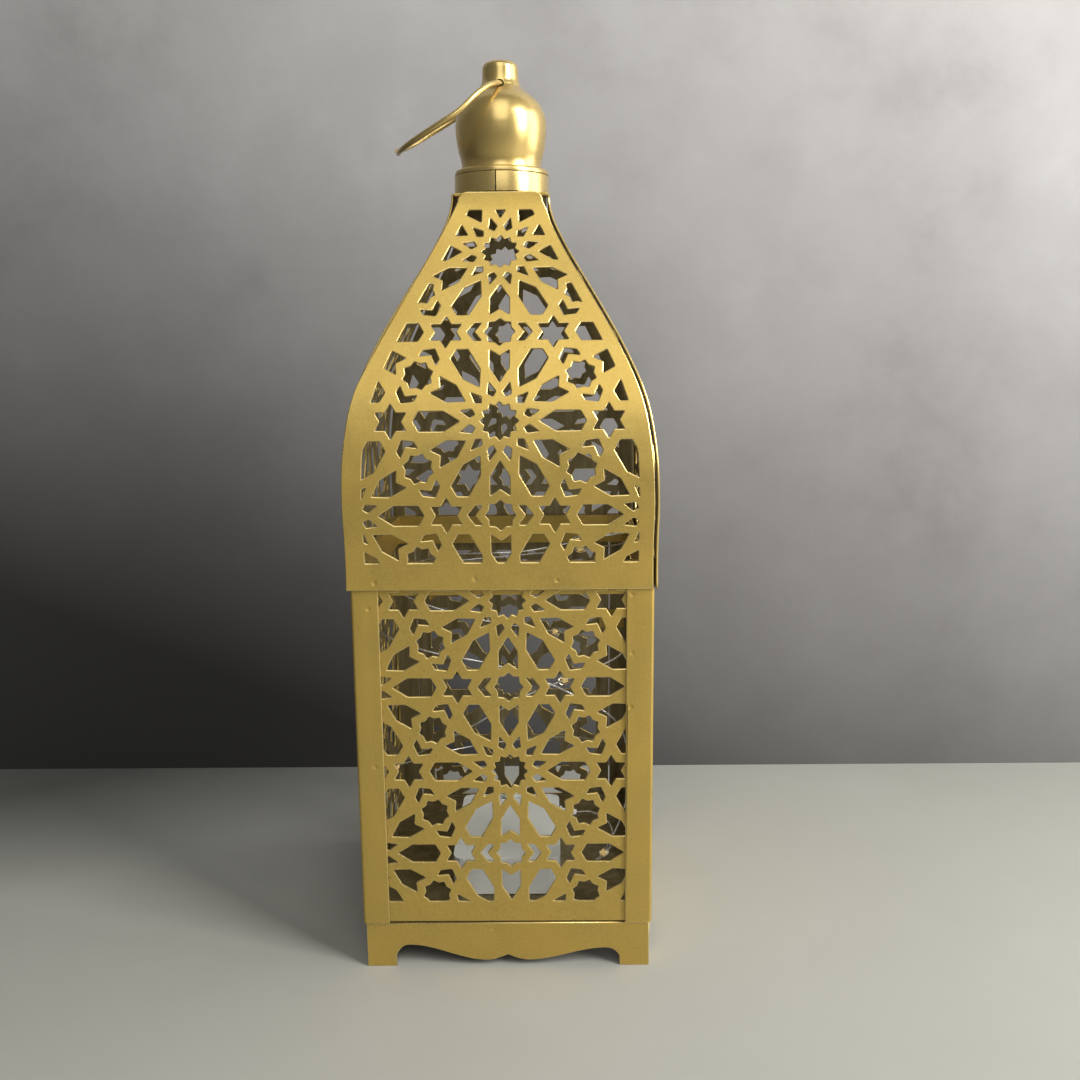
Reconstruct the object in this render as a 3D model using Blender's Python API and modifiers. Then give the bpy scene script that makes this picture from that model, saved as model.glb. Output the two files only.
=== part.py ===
"""Square pierced-metal lantern with a battery light wire inside.

Metres, +Z up. The origin is on the table under the lantern's middle, and the front faces -Y.
Flat sheet pieces are drawn as seen from the front, and turned about Z onto their side.
"""
import math

import bmesh
import bpy
import numpy as np
from mathutils import Matrix, Vector

# Driving dimensions of the sheet-metal lantern
SHEET = 0.0007            # thickness of every sheet piece
FIT = 0.0003              # gap between pieces that touch or nest
BODY_HALF = 0.050         # lantern's axis to the outer face of a corner post
POST_FLANGE = 0.0092      # width of a corner post's flange
POST_CORNER = 0.0011      # outer bend radius of a corner post
SKIRT_H = 0.0162          # height of the skirt with its feet
SKIRT_INSET = 0.0008      # skirt's outer face behind the posts' outer face
SKIRT_FLANGE = 0.0040     # depth of the skirt's inward top flange
FOOT_W = 0.0102           # width of a foot
ARCH_LEFT = 0.0080        # height of the cut between the feet, left and right of the middle
ARCH_RIGHT = 0.0066
ARCH_SHOULDER = 0.0045    # distance from a foot to the arch's highest point
LOBE_CLEAR = 0.0021       # lowest points of the cut edge above the table
LOBE_X = 0.0070           # their distance from the middle
CUSP_H = 0.0042           # height of the point in the middle of the cut edge
POST_SHOWN = 0.1188       # posts from their foot to the eaves
EAVES_LAP = 0.0090        # posts and panels run this far up behind the eaves band
ROOF_H = 0.1297           # eaves to the roof's top edge
ROOF_SEAM = 0.0008        # open seam between a roof panel's right edge and its neighbour
ROOF_CORNER = 0.0032      # corner radius at a roof panel's top
ROOF_TOP_HALF = 0.0129    # half width of a roof panel's top edge
ROOF_TAPER = 0.47         # half width that a panel gains per length down from its top
ROOF_BORDER = 0.0050      # plain edge of a roof panel
EAVES_BAND = 0.0092       # plain band at the roof's foot
COLLAR_R = 0.0165         # outer radius of the collar
COLLAR_H = 0.0066
COLLAR_SEAM = 0.0004      # open butt seam in the collar band
COLLAR_SEAM_ANGLE = -95   # degrees about Z, just left of the front
CAP_THICK = 0.0010        # square plate that closes the roof's top
FINIAL_H = 0.0378         # finial above the collar
FINIAL_WALL = 0.0008
BULB_R = 0.0158
WAIST_R = 0.0139
NECK_R = 0.0073
KNOB_R = 0.0062
RING_HOLE_RISE = 0.0293   # ring hole above the finial's foot
RING_HOLE_R = 0.0016
RING_R = 0.0215           # ring handle, to the middle of its wire
RING_WIRE_R = 0.0009
RING_DROP = 30            # degrees that the ring rests below level, on the left
SCREW_R = 0.0020          # screw that holds the finial on the cap plate
SCREW_TIP = 0.0015        # its length past the nut
HEAD_R = 0.0036
HEAD_H = 0.0028
NUT_H = 0.0030
WASHER_R = 0.0045
WASHER_THICK = 0.0008
DISC_THICK = 0.0012       # disc in the finial's foot, which the screw passes through
FRAME_H = 0.0113          # height of the square ring behind the eaves
FRAME_THICK = 0.0010
TRAY_RIM = 0.0048         # height of the floor plate's rim

# Pierced pattern: rosettes a pitch apart, on a lattice that has one row upright
PANEL_BAND = 0.0076       # plain band at a body panel's foot
ROSETTE_PITCH = 0.0594    # distance between neighbouring rosettes on the body
ROOF_PITCH = 0.0606       # the same along the roof's sheet
ROSETTE_RISE = 0.0554     # a body panel's full rosette above the posts' foot
ROSETTE_X = 0.0016        # its offset from the panel's middle
ROOF_ROSETTE_RISE = 0.0551  # the roof's lower rosette, measured up the sheet from the eaves
SMALLEST_HOLE = 0.0040    # side of the square whose area the smallest clipped opening has
DRAWN_PITCH = 0.060       # pitch at which the openings' sizes below hold
PETAL = ((0.0130, 0.0), (0.0195, 0.0032), (0.0255, 0.0032), (0.0275, 0.0))
ARROW = ((0.0118, 0.0), (0.0180, 0.0031), (0.0232, 0.0031))
CENTRE_R = 0.0052
MIDWAY_R = 0.0043
CORNER_STAR = (0.0058, 0.0034)

# Door at the back
DOOR_GAP = 0.0005
DOOR_BORDER = 0.0053      # plain edge of the door
DOOR_FOOT_BAND = 0.0044   # plain band at the door's foot
HINGE_INSET = 0.0215      # hinge's middle from the door's foot or top
KNUCKLE_R = 0.0017
KNUCKLE_BORE_R = 0.0011
KNUCKLE_HALF = 0.0020     # half the height of a hinge's middle knuckle
PIN_R = 0.0008
PIN_HEAD_R = 0.0014
PIN_HEAD_H = 0.0010
LEAF_H = 0.0120
LEAF_W = 0.0075
LEAF_THICK = 0.0008
PULL_R = 0.0033           # head of the door's pull knob
PULL_H = 0.0023
PULL_STEM = 0.0016        # door to the head
PULL_NECK_R = 0.0013
PULL_FLANGE = 0.0006
PULL_SHANK_R = 0.0011
PULL_NUT_R = 0.0024
PULL_NUT_H = 0.0012
STOP_RISE = 0.0200        # strip that the door shuts against, above the knob
STOP_H = 0.0080
STOP_W = 0.0105
STOP_THICK = 0.0006
STOP_REACH = 0.0045       # it reaches this far behind the door

# Battery case, with three cells side by side
CELL_R = 0.00525
CELL_L = 0.0445
CELL_NUB_R = 0.0019
CELL_NUB_H = 0.0008
CELL_EDGE = 0.0005
CELL_COUNT = 3
CELL_GAP = 0.0014         # between neighbouring cells
CELL_SIDE = 0.00115       # outer cells to the case's side walls
CONTACT_THICK = 0.0004
CONTACT_SPRING = 0.0025   # length of the contacts' springs
SPRING_R = (0.0032, 0.0018)
CASE_MIDDLE = (-0.0008, -0.0029)
CASE_CORNER = 0.0040
CASE_WALL = 0.0012
CASE_TOP = 0.0010
DIVIDER = 0.0010          # wall between the cells and the timer board
COVER_THICK = 0.0009
COVER_LIP = 0.0005        # thickness of the ledges that carry the sliding cover
COVER_LIP_W = 0.0009
BOARD_BAY = 0.0046        # room for the timer board behind the cells
BOARD_THICK = 0.0008
BOARD_W = 0.0280
SWITCH_TRAVEL = 0.0020    # each way from the middle position
SWITCH_CAP = (0.0048, 0.0032, 0.0014)
SWITCH_STEM = (0.0026, 0.0016)
SWITCH_DEPTH = 0.0013     # stem below the case's top wall
SWITCH_FRAME_WALL = 0.0012
SWITCH_FRAME_H = 0.0032
GLAND_R = 0.0017
GLAND_L = 0.0060
GLAND_FLANGE = 0.0011
GLAND_INSIDE = 0.0008

# Light wire: its route is a list of places from the case's lead gland to the free end,
# in loose loops that lean on the lantern's walls
WIRE_R = 0.0003
WIRE_POINTS = 72
WIRE_ROUTE = (
    (0.0261, 0.0221, 0.0249), (0.0320, 0.0221, 0.0249), (0.0390, 0.0150, 0.0230),
    (0.0380, -0.0020, 0.0208), (0.0300, -0.0200, 0.0230), (0.0350, -0.0370, 0.0380),
    (0.0420, -0.0435, 0.0620), (0.0390, -0.0440, 0.0860), (0.0220, -0.0445, 0.0980),
    (-0.0020, -0.0455, 0.1080), (-0.0260, -0.0445, 0.1130), (-0.0430, -0.0340, 0.1170),
    (-0.0468, -0.0080, 0.1200), (-0.0420, 0.0200, 0.1230), (-0.0260, 0.0410, 0.1260),
    (0.0020, 0.0450, 0.1280), (0.0300, 0.0385, 0.1320), (0.0435, 0.0160, 0.1380),
    (0.0440, -0.0120, 0.1470), (0.0320, -0.0360, 0.1500), (0.0080, -0.0445, 0.1470),
    (-0.0180, -0.0410, 0.1450), (-0.0370, -0.0250, 0.1370), (-0.0425, 0.0020, 0.1240),
    (-0.0330, 0.0280, 0.1110), (-0.0100, 0.0410, 0.1010), (0.0170, 0.0390, 0.0970),
    (0.0380, 0.0210, 0.0980), (0.0420, -0.0070, 0.1010), (0.0300, -0.0310, 0.1020),
    (0.0070, -0.0415, 0.0960), (-0.0140, -0.0420, 0.0840), (-0.0330, -0.0350, 0.0720),
    (-0.0425, -0.0140, 0.0600), (-0.0420, 0.0140, 0.0500), (-0.0270, 0.0370, 0.0460),
    (0.0000, 0.0435, 0.0480), (0.0250, 0.0360, 0.0520), (0.0380, 0.0200, 0.0560),
)
DROP_COUNT = 10           # light drops on the wire
DROP_R = 0.0017
DROP_L = 0.0044
DROP_FIRST = 5            # stretch of the wire that holds the first drop
DROP_EVERY = 7            # stretches from one drop to the next

# Roof profile: share of the roof's height, and share of the way out from the collar to the eaves
ROOF_SHAPE = (
    (0.0, 1.0), (0.10, 0.999), (0.23, 1.009), (0.35, 0.985), (0.474, 0.901),
    (0.595, 0.717), (0.719, 0.468), (0.848, 0.190), (0.93, 0.045), (0.967, 0.010), (1.0, 0.0),
)

# Heights and faces that follow from the sizes above
POST_FOOT_Z = SKIRT_H + FIT
EAVES_Z = POST_FOOT_Z + POST_SHOWN
POST_TOP_Z = EAVES_Z + EAVES_LAP
ROOF_TOP_Z = EAVES_Z + ROOF_H
COLLAR_Z = ROOF_TOP_Z + FIT
FINIAL_Z = COLLAR_Z + COLLAR_H + FIT
RING_HOLE_Z = FINIAL_Z + RING_HOLE_RISE
SKIRT_FACE = BODY_HALF - SKIRT_INSET
PANEL_FACE = BODY_HALF - SHEET - FIT
FRAME_FACE = PANEL_FACE - SHEET - FIT
EAVES_FACE = BODY_HALF + FIT + SHEET
ROOF_TOP_FACE = COLLAR_R + SHEET / 7
CAP_TOP_Z = ROOF_TOP_Z - FIT
FLOOR_TOP_Z = POST_FOOT_Z + SHEET
ROSETTE_Z = POST_FOOT_Z + ROSETTE_RISE
SCREW_HOLE_R = SCREW_R + FIT
FINIAL_FOOT_R = COLLAR_R - FIT
POST_INNER_X = BODY_HALF - POST_FLANGE
DOOR_HALF = POST_INNER_X - DOOR_GAP
DOOR_TOP_Z = EAVES_Z - DOOR_GAP
DOOR_FOOT_Z = POST_FOOT_Z + DOOR_GAP
HINGE_X = -POST_INNER_X + DOOR_GAP / 2
HINGE_Y = BODY_HALF + FIT + KNUCKLE_R
PULL_X = DOOR_HALF - DOOR_BORDER / 2
PULL_Z = (DOOR_FOOT_Z + DOOR_TOP_Z) / 2

# Battery case: the cells set its length and height
CASE_Z = FLOOR_TOP_Z + FIT
BAY_Z = CASE_Z + COVER_LIP + COVER_THICK + 2 * FIT
BAY_TOP_Z = BAY_Z + 2 * CELL_R + FIT
CASE_TOP_Z = BAY_TOP_Z + CASE_TOP
BAY_L = CELL_L + CONTACT_SPRING + 2 * CONTACT_THICK + 4 * FIT
CASE_L = 2 * CASE_WALL + BAY_L + DIVIDER + BOARD_BAY
CELL_PITCH = 2 * CELL_R + CELL_GAP
CASE_W = 2 * (CASE_WALL + CELL_SIDE + CELL_R) + (CELL_COUNT - 1) * CELL_PITCH
CASE_X = CASE_MIDDLE[0]
CASE_RIGHT = CASE_X + CASE_W / 2
CASE_FRONT = CASE_MIDDLE[1] - CASE_L / 2
CASE_REAR = CASE_MIDDLE[1] + CASE_L / 2
BAY_HALF = CASE_W / 2 - CASE_WALL
BAY_FRONT = CASE_FRONT + CASE_WALL
BAY_REAR = BAY_FRONT + BAY_L
BOARD_FRONT = BAY_REAR + DIVIDER
BOARD_REAR = CASE_REAR - CASE_WALL
LEAD_Y = (BOARD_FRONT + BOARD_REAR) / 2
LEAD_Z = (BAY_Z + BAY_TOP_Z) / 2
CUT_PAST = 0.004          # cutters run this far past what they cut


# Helpers

def clear_scene():
    for obj in list(bpy.data.objects):
        bpy.data.objects.remove(obj, do_unlink=True)


def new_collection(name):
    collection = bpy.data.collections.new(name)
    bpy.context.scene.collection.children.link(collection)
    return collection


clear_scene()
PARTS = new_collection("led_lantern")
CUTTERS = new_collection("cutters")


def material(name, colour, roughness, metallic, alpha=1.0):
    mat = bpy.data.materials.new(name)
    mat.use_nodes = True
    shader = mat.node_tree.nodes["Principled BSDF"]
    shader.inputs["Base Color"].default_value = (*colour, 1.0)
    shader.inputs["Roughness"].default_value = roughness
    shader.inputs["Metallic"].default_value = metallic
    shader.inputs["Alpha"].default_value = alpha
    return mat


def add_object(name, data, mat, turn=0.0):
    obj = bpy.data.objects.new(name, data)
    obj.rotation_euler = (0.0, 0.0, math.radians(turn))
    PARTS.objects.link(obj)
    data.materials.append(mat)
    return obj


def helper(name, mesh, turn=0.0):
    """A cutter, or a shape that is joined to a part; it isn't a part itself."""
    obj = bpy.data.objects.new(name, mesh)
    obj.rotation_euler = (0.0, 0.0, math.radians(turn))
    obj.hide_render = True
    obj.display_type = "WIRE"
    CUTTERS.objects.link(obj)
    return obj


def mesh_from(bm, name):
    mesh = bpy.data.meshes.new(name)
    bm.to_mesh(mesh)
    bm.free()
    return mesh


def boolean(obj, other, operation):
    mod = obj.modifiers.new(operation.lower(), "BOOLEAN")
    mod.object = other
    mod.operation = operation
    mod.solver = "EXACT"


def box_mesh(name, low, high, corner=0.0):
    """A box; corner rounds its four upright edges."""
    low = Vector(low)
    high = Vector(high)
    bm = bmesh.new()
    bmesh.ops.create_cube(bm, size=1.0)
    bmesh.ops.scale(bm, vec=high - low, verts=bm.verts)
    bmesh.ops.translate(bm, vec=(high + low) / 2, verts=bm.verts)
    if corner:
        upright = [e for e in bm.edges if abs(e.verts[0].co.z - e.verts[1].co.z) > (high.z - low.z) / 2]
        bmesh.ops.bevel(bm, geom=upright, offset=corner, segments=4, profile=0.5, affect="EDGES")
    return mesh_from(bm, name)


def box(name, low, high, mat, corner=0.0, turn=0.0):
    return add_object(name, box_mesh(name, low, high, corner), mat, turn)


def cut_box(obj, low, high, turn=0.0):
    name = obj.name + "_cut_" + str(len(obj.modifiers))
    boolean(obj, helper(name, box_mesh(name, low, high), turn), "DIFFERENCE")


def join_box(obj, low, high, turn=0.0):
    name = obj.name + "_join_" + str(len(obj.modifiers))
    boolean(obj, helper(name, box_mesh(name, low, high), turn), "UNION")


def round_helper(name, centre, axis, radii, length, sides):
    bm = bmesh.new()
    bmesh.ops.create_cone(bm, cap_ends=True, segments=sides, radius1=radii[0], radius2=radii[1], depth=length)
    obj = helper(name, mesh_from(bm, name))
    point_along(obj, axis, centre)
    return obj


def cut_round(obj, centre, axis, radius, length, sides=16):
    name = obj.name + "_bore_" + str(len(obj.modifiers))
    boolean(obj, round_helper(name, centre, axis, (radius, radius), length, sides), "DIFFERENCE")


def point_along(obj, direction, location):
    """Turn an object that was made along Z, and place it."""
    obj.rotation_euler = Vector((0, 0, 1)).rotation_difference(Vector(direction)).to_euler()
    obj.location = location


def pivot_at(name, location):
    pivot = bpy.data.objects.new(name, None)
    pivot.location = location
    PARTS.objects.link(pivot)
    return pivot


def hang_on(obj, pivot):
    obj.parent = pivot
    obj.matrix_parent_inverse = Matrix.Translation(-pivot.location)


def outline_curve(name, rings, thickness):
    """A filled flat curve; the first ring is the outline, and the others are its holes."""
    data = bpy.data.curves.new(name, "CURVE")
    data.dimensions = "2D"
    data.fill_mode = "BOTH"
    data.extrude = thickness / 2
    for ring in rings:
        spline = data.splines.new("POLY")
        spline.points.add(len(ring) - 1)
        for point, (x, y) in zip(spline.points, ring):
            point.co = (x, y, 0.0, 1.0)
        spline.use_cyclic_u = True
    return data


def curve_to_mesh(name, curve):
    """The curve's shape as a mesh whose caps are welded to its walls."""
    source = bpy.data.objects.new(name + "_curve", curve)
    CUTTERS.objects.link(source)
    bpy.context.view_layer.update()
    depsgraph = bpy.context.evaluated_depsgraph_get()
    mesh = bpy.data.meshes.new_from_object(source.evaluated_get(depsgraph))
    bpy.data.objects.remove(source, do_unlink=True)
    bm = bmesh.new()
    bm.from_mesh(mesh)
    bmesh.ops.remove_doubles(bm, verts=bm.verts, dist=0.000005)
    bmesh.ops.recalc_face_normals(bm, faces=bm.faces)
    bm.to_mesh(mesh)
    bm.free()
    mesh.name = name
    return mesh


def prism(name, outline, low, high, mat, holes=(), turn=0.0):
    mesh = curve_to_mesh(name, outline_curve(name, (outline, *holes), high - low))
    mesh.transform(Matrix.Translation((0, 0, (low + high) / 2)))
    return add_object(name, mesh, mat, turn)


def upright_sheet(name, outline, holes, face, mat, turn=0.0):
    """A flat sheet whose outer face is at the given distance from the lantern's axis."""
    mesh = curve_to_mesh(name, outline_curve(name, (outline, *holes), SHEET))
    mesh.transform(Matrix.Translation((0, SHEET / 2 - face, 0)) @ Matrix.Rotation(math.radians(90), 4, "X"))
    return add_object(name, mesh, mat, turn)


def turned(name, profile, steps, mat, closed=False):
    """A profile of (radius, height) points, run down its outer side, turned about Z."""
    bm = bmesh.new()
    verts = [bm.verts.new((r, 0.0, z)) for r, z in profile]
    for first, second in zip(verts, verts[1:]):
        bm.edges.new((first, second))
    if closed:
        bm.edges.new((verts[-1], verts[0]))
    obj = add_object(name, mesh_from(bm, name), mat)
    mod = obj.modifiers.new("turn", "SCREW")
    mod.steps = steps
    mod.render_steps = steps
    mod.use_merge_vertices = True
    mod.merge_threshold = 0.00001
    return obj


def tube_profile(outer, inner, low, high):
    return [(outer, high), (outer, low), (inner, low), (inner, high)]


def hexagon_bore(radius):
    """Corner radius of a six-sided bore that clears a round rod."""
    return radius / math.cos(math.radians(30))


def smooth_curve(points, steps):
    """A smooth curve through the points, with the given number of steps between each pair."""
    pts = np.array(points, dtype=float)
    pts = np.vstack([2 * pts[0] - pts[1], pts, 2 * pts[-1] - pts[-2]])
    out = []
    for i in range(1, len(pts) - 2):
        p0, p1, p2, p3 = pts[i - 1:i + 3]
        t1 = np.linalg.norm(p1 - p0) ** 0.5
        t2 = t1 + np.linalg.norm(p2 - p1) ** 0.5
        t3 = t2 + np.linalg.norm(p3 - p2) ** 0.5
        for t in np.linspace(t1, t2, steps, endpoint=False):
            a1 = p0 + (p1 - p0) * t / t1
            a2 = p1 + (p2 - p1) * (t - t1) / (t2 - t1)
            a3 = p2 + (p3 - p2) * (t - t2) / (t3 - t2)
            b1 = a1 + (a2 - a1) * t / t2
            b2 = a2 + (a3 - a2) * (t - t1) / (t3 - t1)
            out.append(b1 + (b2 - b1) * (t - t1) / (t2 - t1))
    out.append(pts[-2])
    return np.array(out)


def lengths_along(curve):
    steps = np.linalg.norm(np.diff(curve, axis=0), axis=1)
    return np.concatenate([[0.0], np.cumsum(steps)])


def even_points(curve, count):
    along = lengths_along(curve)
    wanted = np.linspace(0.0, along[-1], count)
    return np.stack([np.interp(wanted, along, curve[:, k]) for k in range(3)], axis=1)


# Pierced pattern

def regular(sides, radius):
    turns = [2 * math.pi * i / sides for i in range(sides)]
    return [(radius * math.cos(a), radius * math.sin(a)) for a in turns]


def star(points, outer, inner, phase):
    ring = []
    for i in range(2 * points):
        radius = inner if i % 2 else outer
        angle = math.radians(phase) + math.pi * i / points
        ring.append((radius * math.cos(angle), radius * math.sin(angle)))
    return ring


def leaf(stations, angle):
    """A hole symmetric about a line from the rosette's centre; stations are (radius, half width)."""
    ring = list(stations) + [(r, -w) for r, w in reversed(stations) if w]
    a = math.radians(angle)
    points = [(r * math.cos(a) - w * math.sin(a), r * math.sin(a) + w * math.cos(a)) for r, w in ring]
    return points[::-1]


def rosette_unit():
    """Openings that belong to one rosette, about its centre, each as an anticlockwise ring."""
    rings = [regular(12, CENTRE_R)]
    for k in range(6):
        rings.append(leaf(PETAL, 60 * k))
        rings.append(leaf(ARROW, 60 * k + 30))
    half = DRAWN_PITCH / 2
    for angle in (30, 90, 150):
        a = math.radians(angle)
        rings.append([(x + half * math.cos(a), y + half * math.sin(a)) for x, y in regular(4, MIDWAY_R)])
    third = DRAWN_PITCH / math.sqrt(3)
    for angle in (0, 60):
        a = math.radians(angle)
        corner = star(6, *CORNER_STAR, 30)
        rings.append([(x + third * math.cos(a), y + third * math.sin(a)) for x, y in corner])
    return rings


def clip_ring(ring, window):
    """The part of a ring inside a convex window, whose points run anticlockwise."""
    for (ax, ay), (bx, by) in zip(window, window[1:] + window[:1]):
        kept = []
        for (px, py), (qx, qy) in zip(ring, ring[1:] + ring[:1]):
            p_side = (bx - ax) * (py - ay) - (by - ay) * (px - ax)
            q_side = (bx - ax) * (qy - ay) - (by - ay) * (qx - ax)
            if p_side >= 0:
                kept.append((px, py))
            if (p_side >= 0) != (q_side >= 0):
                t = p_side / (p_side - q_side)
                kept.append((px + t * (qx - px), py + t * (qy - py)))
        ring = kept
        if len(ring) < 3:
            return []
    return ring


def ring_area(ring):
    return 0.5 * sum(ax * by - bx * ay for (ax, ay), (bx, by) in zip(ring, ring[1:] + ring[:1]))


def convex_hull(points):
    pts = sorted(points)

    def half(seq):
        out = []
        for p in seq:
            while len(out) > 1:
                (ax, ay), (bx, by) = out[-2:]
                if (bx - ax) * (p[1] - ay) - (by - ay) * (p[0] - ax) > 0:
                    break
                out.pop()
            out.append(p)
        return out[:-1]

    return half(pts) + half(reversed(pts))


def pierced(window, centre, pitch):
    """All openings of the rosette pattern inside a window, clipped to it."""
    scale = pitch / DRAWN_PITCH
    unit = rosette_unit()
    window = convex_hull(window)
    reach_x = max(abs(x) for x, y in window)
    low = min(y for x, y in window)
    high = max(y for x, y in window)
    column = pitch * math.sqrt(3) / 2
    columns = int(reach_x / column) + 2
    rings = []
    for i in range(-columns, columns + 1):
        x0 = centre[0] + i * column
        lift = centre[1] + (i % 2) * pitch / 2
        for j in range(int((low - lift) / pitch) - 2, int((high - lift) / pitch) + 3):
            y0 = lift + j * pitch
            for ring in unit:
                moved = [(x0 + scale * x, y0 + scale * y) for x, y in ring]
                clipped = clip_ring(moved, window)
                if clipped and ring_area(clipped) > SMALLEST_HOLE ** 2:
                    rings.append(clipped[::-1])
    return rings


def rectangle(half, low, high):
    return [(-half, low), (half, low), (half, high), (-half, high)]


# Skirt

def valance_height(x, half):
    """Height of the skirt's cut edge between the feet; half is where a foot begins."""
    arch = ARCH_LEFT if x < 0 else ARCH_RIGHT
    peak = half - ARCH_SHOULDER
    away = abs(x)
    if away > peak:
        share = (away - peak) / (half - peak)
        return arch * math.sqrt(max(0.0, 1.0 - 0.75 * share ** 2))
    if away > LOBE_X:
        share = (peak - away) / (peak - LOBE_X)
        return LOBE_CLEAR + (arch - LOBE_CLEAR) * (1 + math.cos(math.pi * share)) / 2
    return LOBE_CLEAR + (CUSP_H - LOBE_CLEAR) * (1 - away / LOBE_X) ** 1.6


def skirt_outline(half):
    foot = SKIRT_FACE - FOOT_W
    peak = foot - ARCH_SHOULDER
    right = [foot, foot - 0.25 * ARCH_SHOULDER, foot - 0.6 * ARCH_SHOULDER, peak]
    right += [peak + (LOBE_X - peak) * k / 5 for k in range(1, 6)]
    right += [LOBE_X * 0.45]
    stations = [-x for x in right] + [0.0] + right[::-1]
    edge = [(x, valance_height(x, foot)) for x in stations]
    return [(-half, 0.0), (-foot, 0.0), *edge, (foot, 0.0), (half, 0.0), (half, SKIRT_H), (-half, SKIRT_H)]


def make_skirts(gold):
    """The side skirts fit between the front and the back one, and so do their top flanges."""
    inner = SKIRT_FACE - SHEET
    bite = SHEET / 2
    for name, turn in (("front", 0), ("right", 90), ("back", 180), ("left", -90)):
        between = name in ("right", "left")
        half = inner - FIT if between else SKIRT_FACE
        flange_half = inner - SKIRT_FLANGE - FIT if between else inner - FIT
        obj = upright_sheet("skirt_" + name, skirt_outline(half), (), SKIRT_FACE, gold, turn)
        join_box(obj, (-flange_half, -inner - bite, SKIRT_H - SHEET),
                 (flange_half, -inner + SKIRT_FLANGE, SKIRT_H), turn)


# Body

def post_outline():
    """L section of the corner post at the front right."""
    inner = BODY_HALF - SHEET
    bend = BODY_HALF - POST_CORNER
    arc = []
    for k in range(4):
        a = math.radians(-90 + 30 * k)
        arc.append((bend + POST_CORNER * math.cos(a), -bend + POST_CORNER * math.sin(a)))
    return [(POST_INNER_X, -BODY_HALF), *arc, (BODY_HALF, -POST_INNER_X),
            (inner, -POST_INNER_X), (inner, -inner), (POST_INNER_X, -inner)]


def make_posts(gold):
    for name, turn in (("front_right", 0), ("back_right", 90), ("back_left", 180), ("front_left", -90)):
        prism("corner_post_" + name, post_outline(), POST_FOOT_Z, POST_TOP_Z, gold, turn=turn)


def make_body_panels(gold):
    foot = POST_FOOT_Z + FIT
    outline = rectangle(FRAME_FACE, foot, POST_TOP_Z)
    window = rectangle(POST_INNER_X, foot + PANEL_BAND, EAVES_Z)
    holes = pierced(window, (ROSETTE_X, ROSETTE_Z), ROSETTE_PITCH)
    for name, turn in (("front", 0), ("right", 90), ("left", -90)):
        upright_sheet("body_panel_" + name, outline, holes, PANEL_FACE, gold, turn)


def make_upper_frame(gold):
    low = POST_TOP_Z - FRAME_H
    obj = box("upper_frame", (-FRAME_FACE, -FRAME_FACE, low), (FRAME_FACE, FRAME_FACE, POST_TOP_Z), gold)
    inner = FRAME_FACE - FRAME_THICK
    cut_box(obj, (-inner, -inner, low - CUT_PAST), (inner, inner, POST_TOP_Z + CUT_PAST))


def make_floor(gold):
    rim_top = POST_FOOT_Z + TRAY_RIM
    obj = box("floor_plate", (-FRAME_FACE, -FRAME_FACE, POST_FOOT_Z), (FRAME_FACE, FRAME_FACE, rim_top), gold)
    inner = FRAME_FACE - SHEET
    cut_box(obj, (-inner, -inner, FLOOR_TOP_Z), (inner, inner, rim_top + CUT_PAST))


# Roof

def roof_curve():
    """Up the outer face of the roof: the length along it, the height, and the distance from the axis."""
    spread = EAVES_FACE - ROOF_TOP_FACE
    knots = [(EAVES_Z + ROOF_H * share, ROOF_TOP_FACE + spread * out) for share, out in ROOF_SHAPE]
    curve = smooth_curve(knots, 8)
    return lengths_along(curve), curve[:, 0], curve[:, 1]


def roof_outline(curve, left_seam, right_seam, border=0.0, foot=0.0, corner=ROOF_CORNER):
    """Flat outline of a roof panel: its half width is its distance from the axis, less the seam."""
    along, heights, faces = curve
    top = along[-1] - border

    def half_width(v, seam):
        tapered = ROOF_TOP_HALF + ROOF_TAPER * (along[-1] - v)
        return float(min(np.interp(v, along, faces) - seam, tapered)) - border

    def edge(seam):
        points = []
        for share in (0.0, 0.09, 0.18, 0.26, 0.33, 0.39, 0.45, 0.51, 0.58, 0.66, 0.74, 0.82, 0.89, 0.95):
            v = foot + share * (top - corner - foot)
            points.append((half_width(v, seam), float(v)))
        half = half_width(top - corner, seam)
        for k in range(4):
            a = math.radians(30 * k)
            points.append((half - corner + corner * math.cos(a), float(top) - corner + corner * math.sin(a)))
        return points

    return edge(right_seam) + [(-x, v) for x, v in reversed(edge(left_seam))]


def make_roof(gold):
    """Each panel is drawn flat and bent to the roof's curve; its left edge laps its neighbour."""
    curve = roof_curve()
    along, heights, faces = curve
    between = SHEET + ROOF_SEAM
    window = roof_outline(curve, between, between, ROOF_BORDER, EAVES_BAND, ROOF_CORNER / 3)
    holes = pierced(window, (0.0, ROOF_ROSETTE_RISE), ROOF_PITCH)
    rings = (roof_outline(curve, 0.0, between), *holes)
    for name, turn in (("front", 0), ("right", 90), ("back", 180), ("left", -90)):
        mesh = curve_to_mesh("roof_panel_" + name, outline_curve(name, rings, 0.0))
        if mesh.polygons[0].normal.z < 0:
            mesh.flip_normals()
        for vert in mesh.vertices:
            v = vert.co.y
            vert.co = (vert.co.x, -np.interp(v, along, faces), np.interp(v, along, heights))
        obj = add_object("roof_panel_" + name, mesh, gold, turn)
        mod = obj.modifiers.new("sheet", "SOLIDIFY")
        mod.thickness = SHEET
        mod.offset = -1.0


def make_cap(gold):
    half = ROOF_TOP_FACE - SHEET - FIT
    obj = box("cap_plate", (-half, -half, CAP_TOP_Z - CAP_THICK), (half, half, CAP_TOP_Z), gold)
    cut_round(obj, (0, 0, CAP_TOP_Z), (0, 0, 1), SCREW_HOLE_R, 4 * CAP_THICK)


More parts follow.
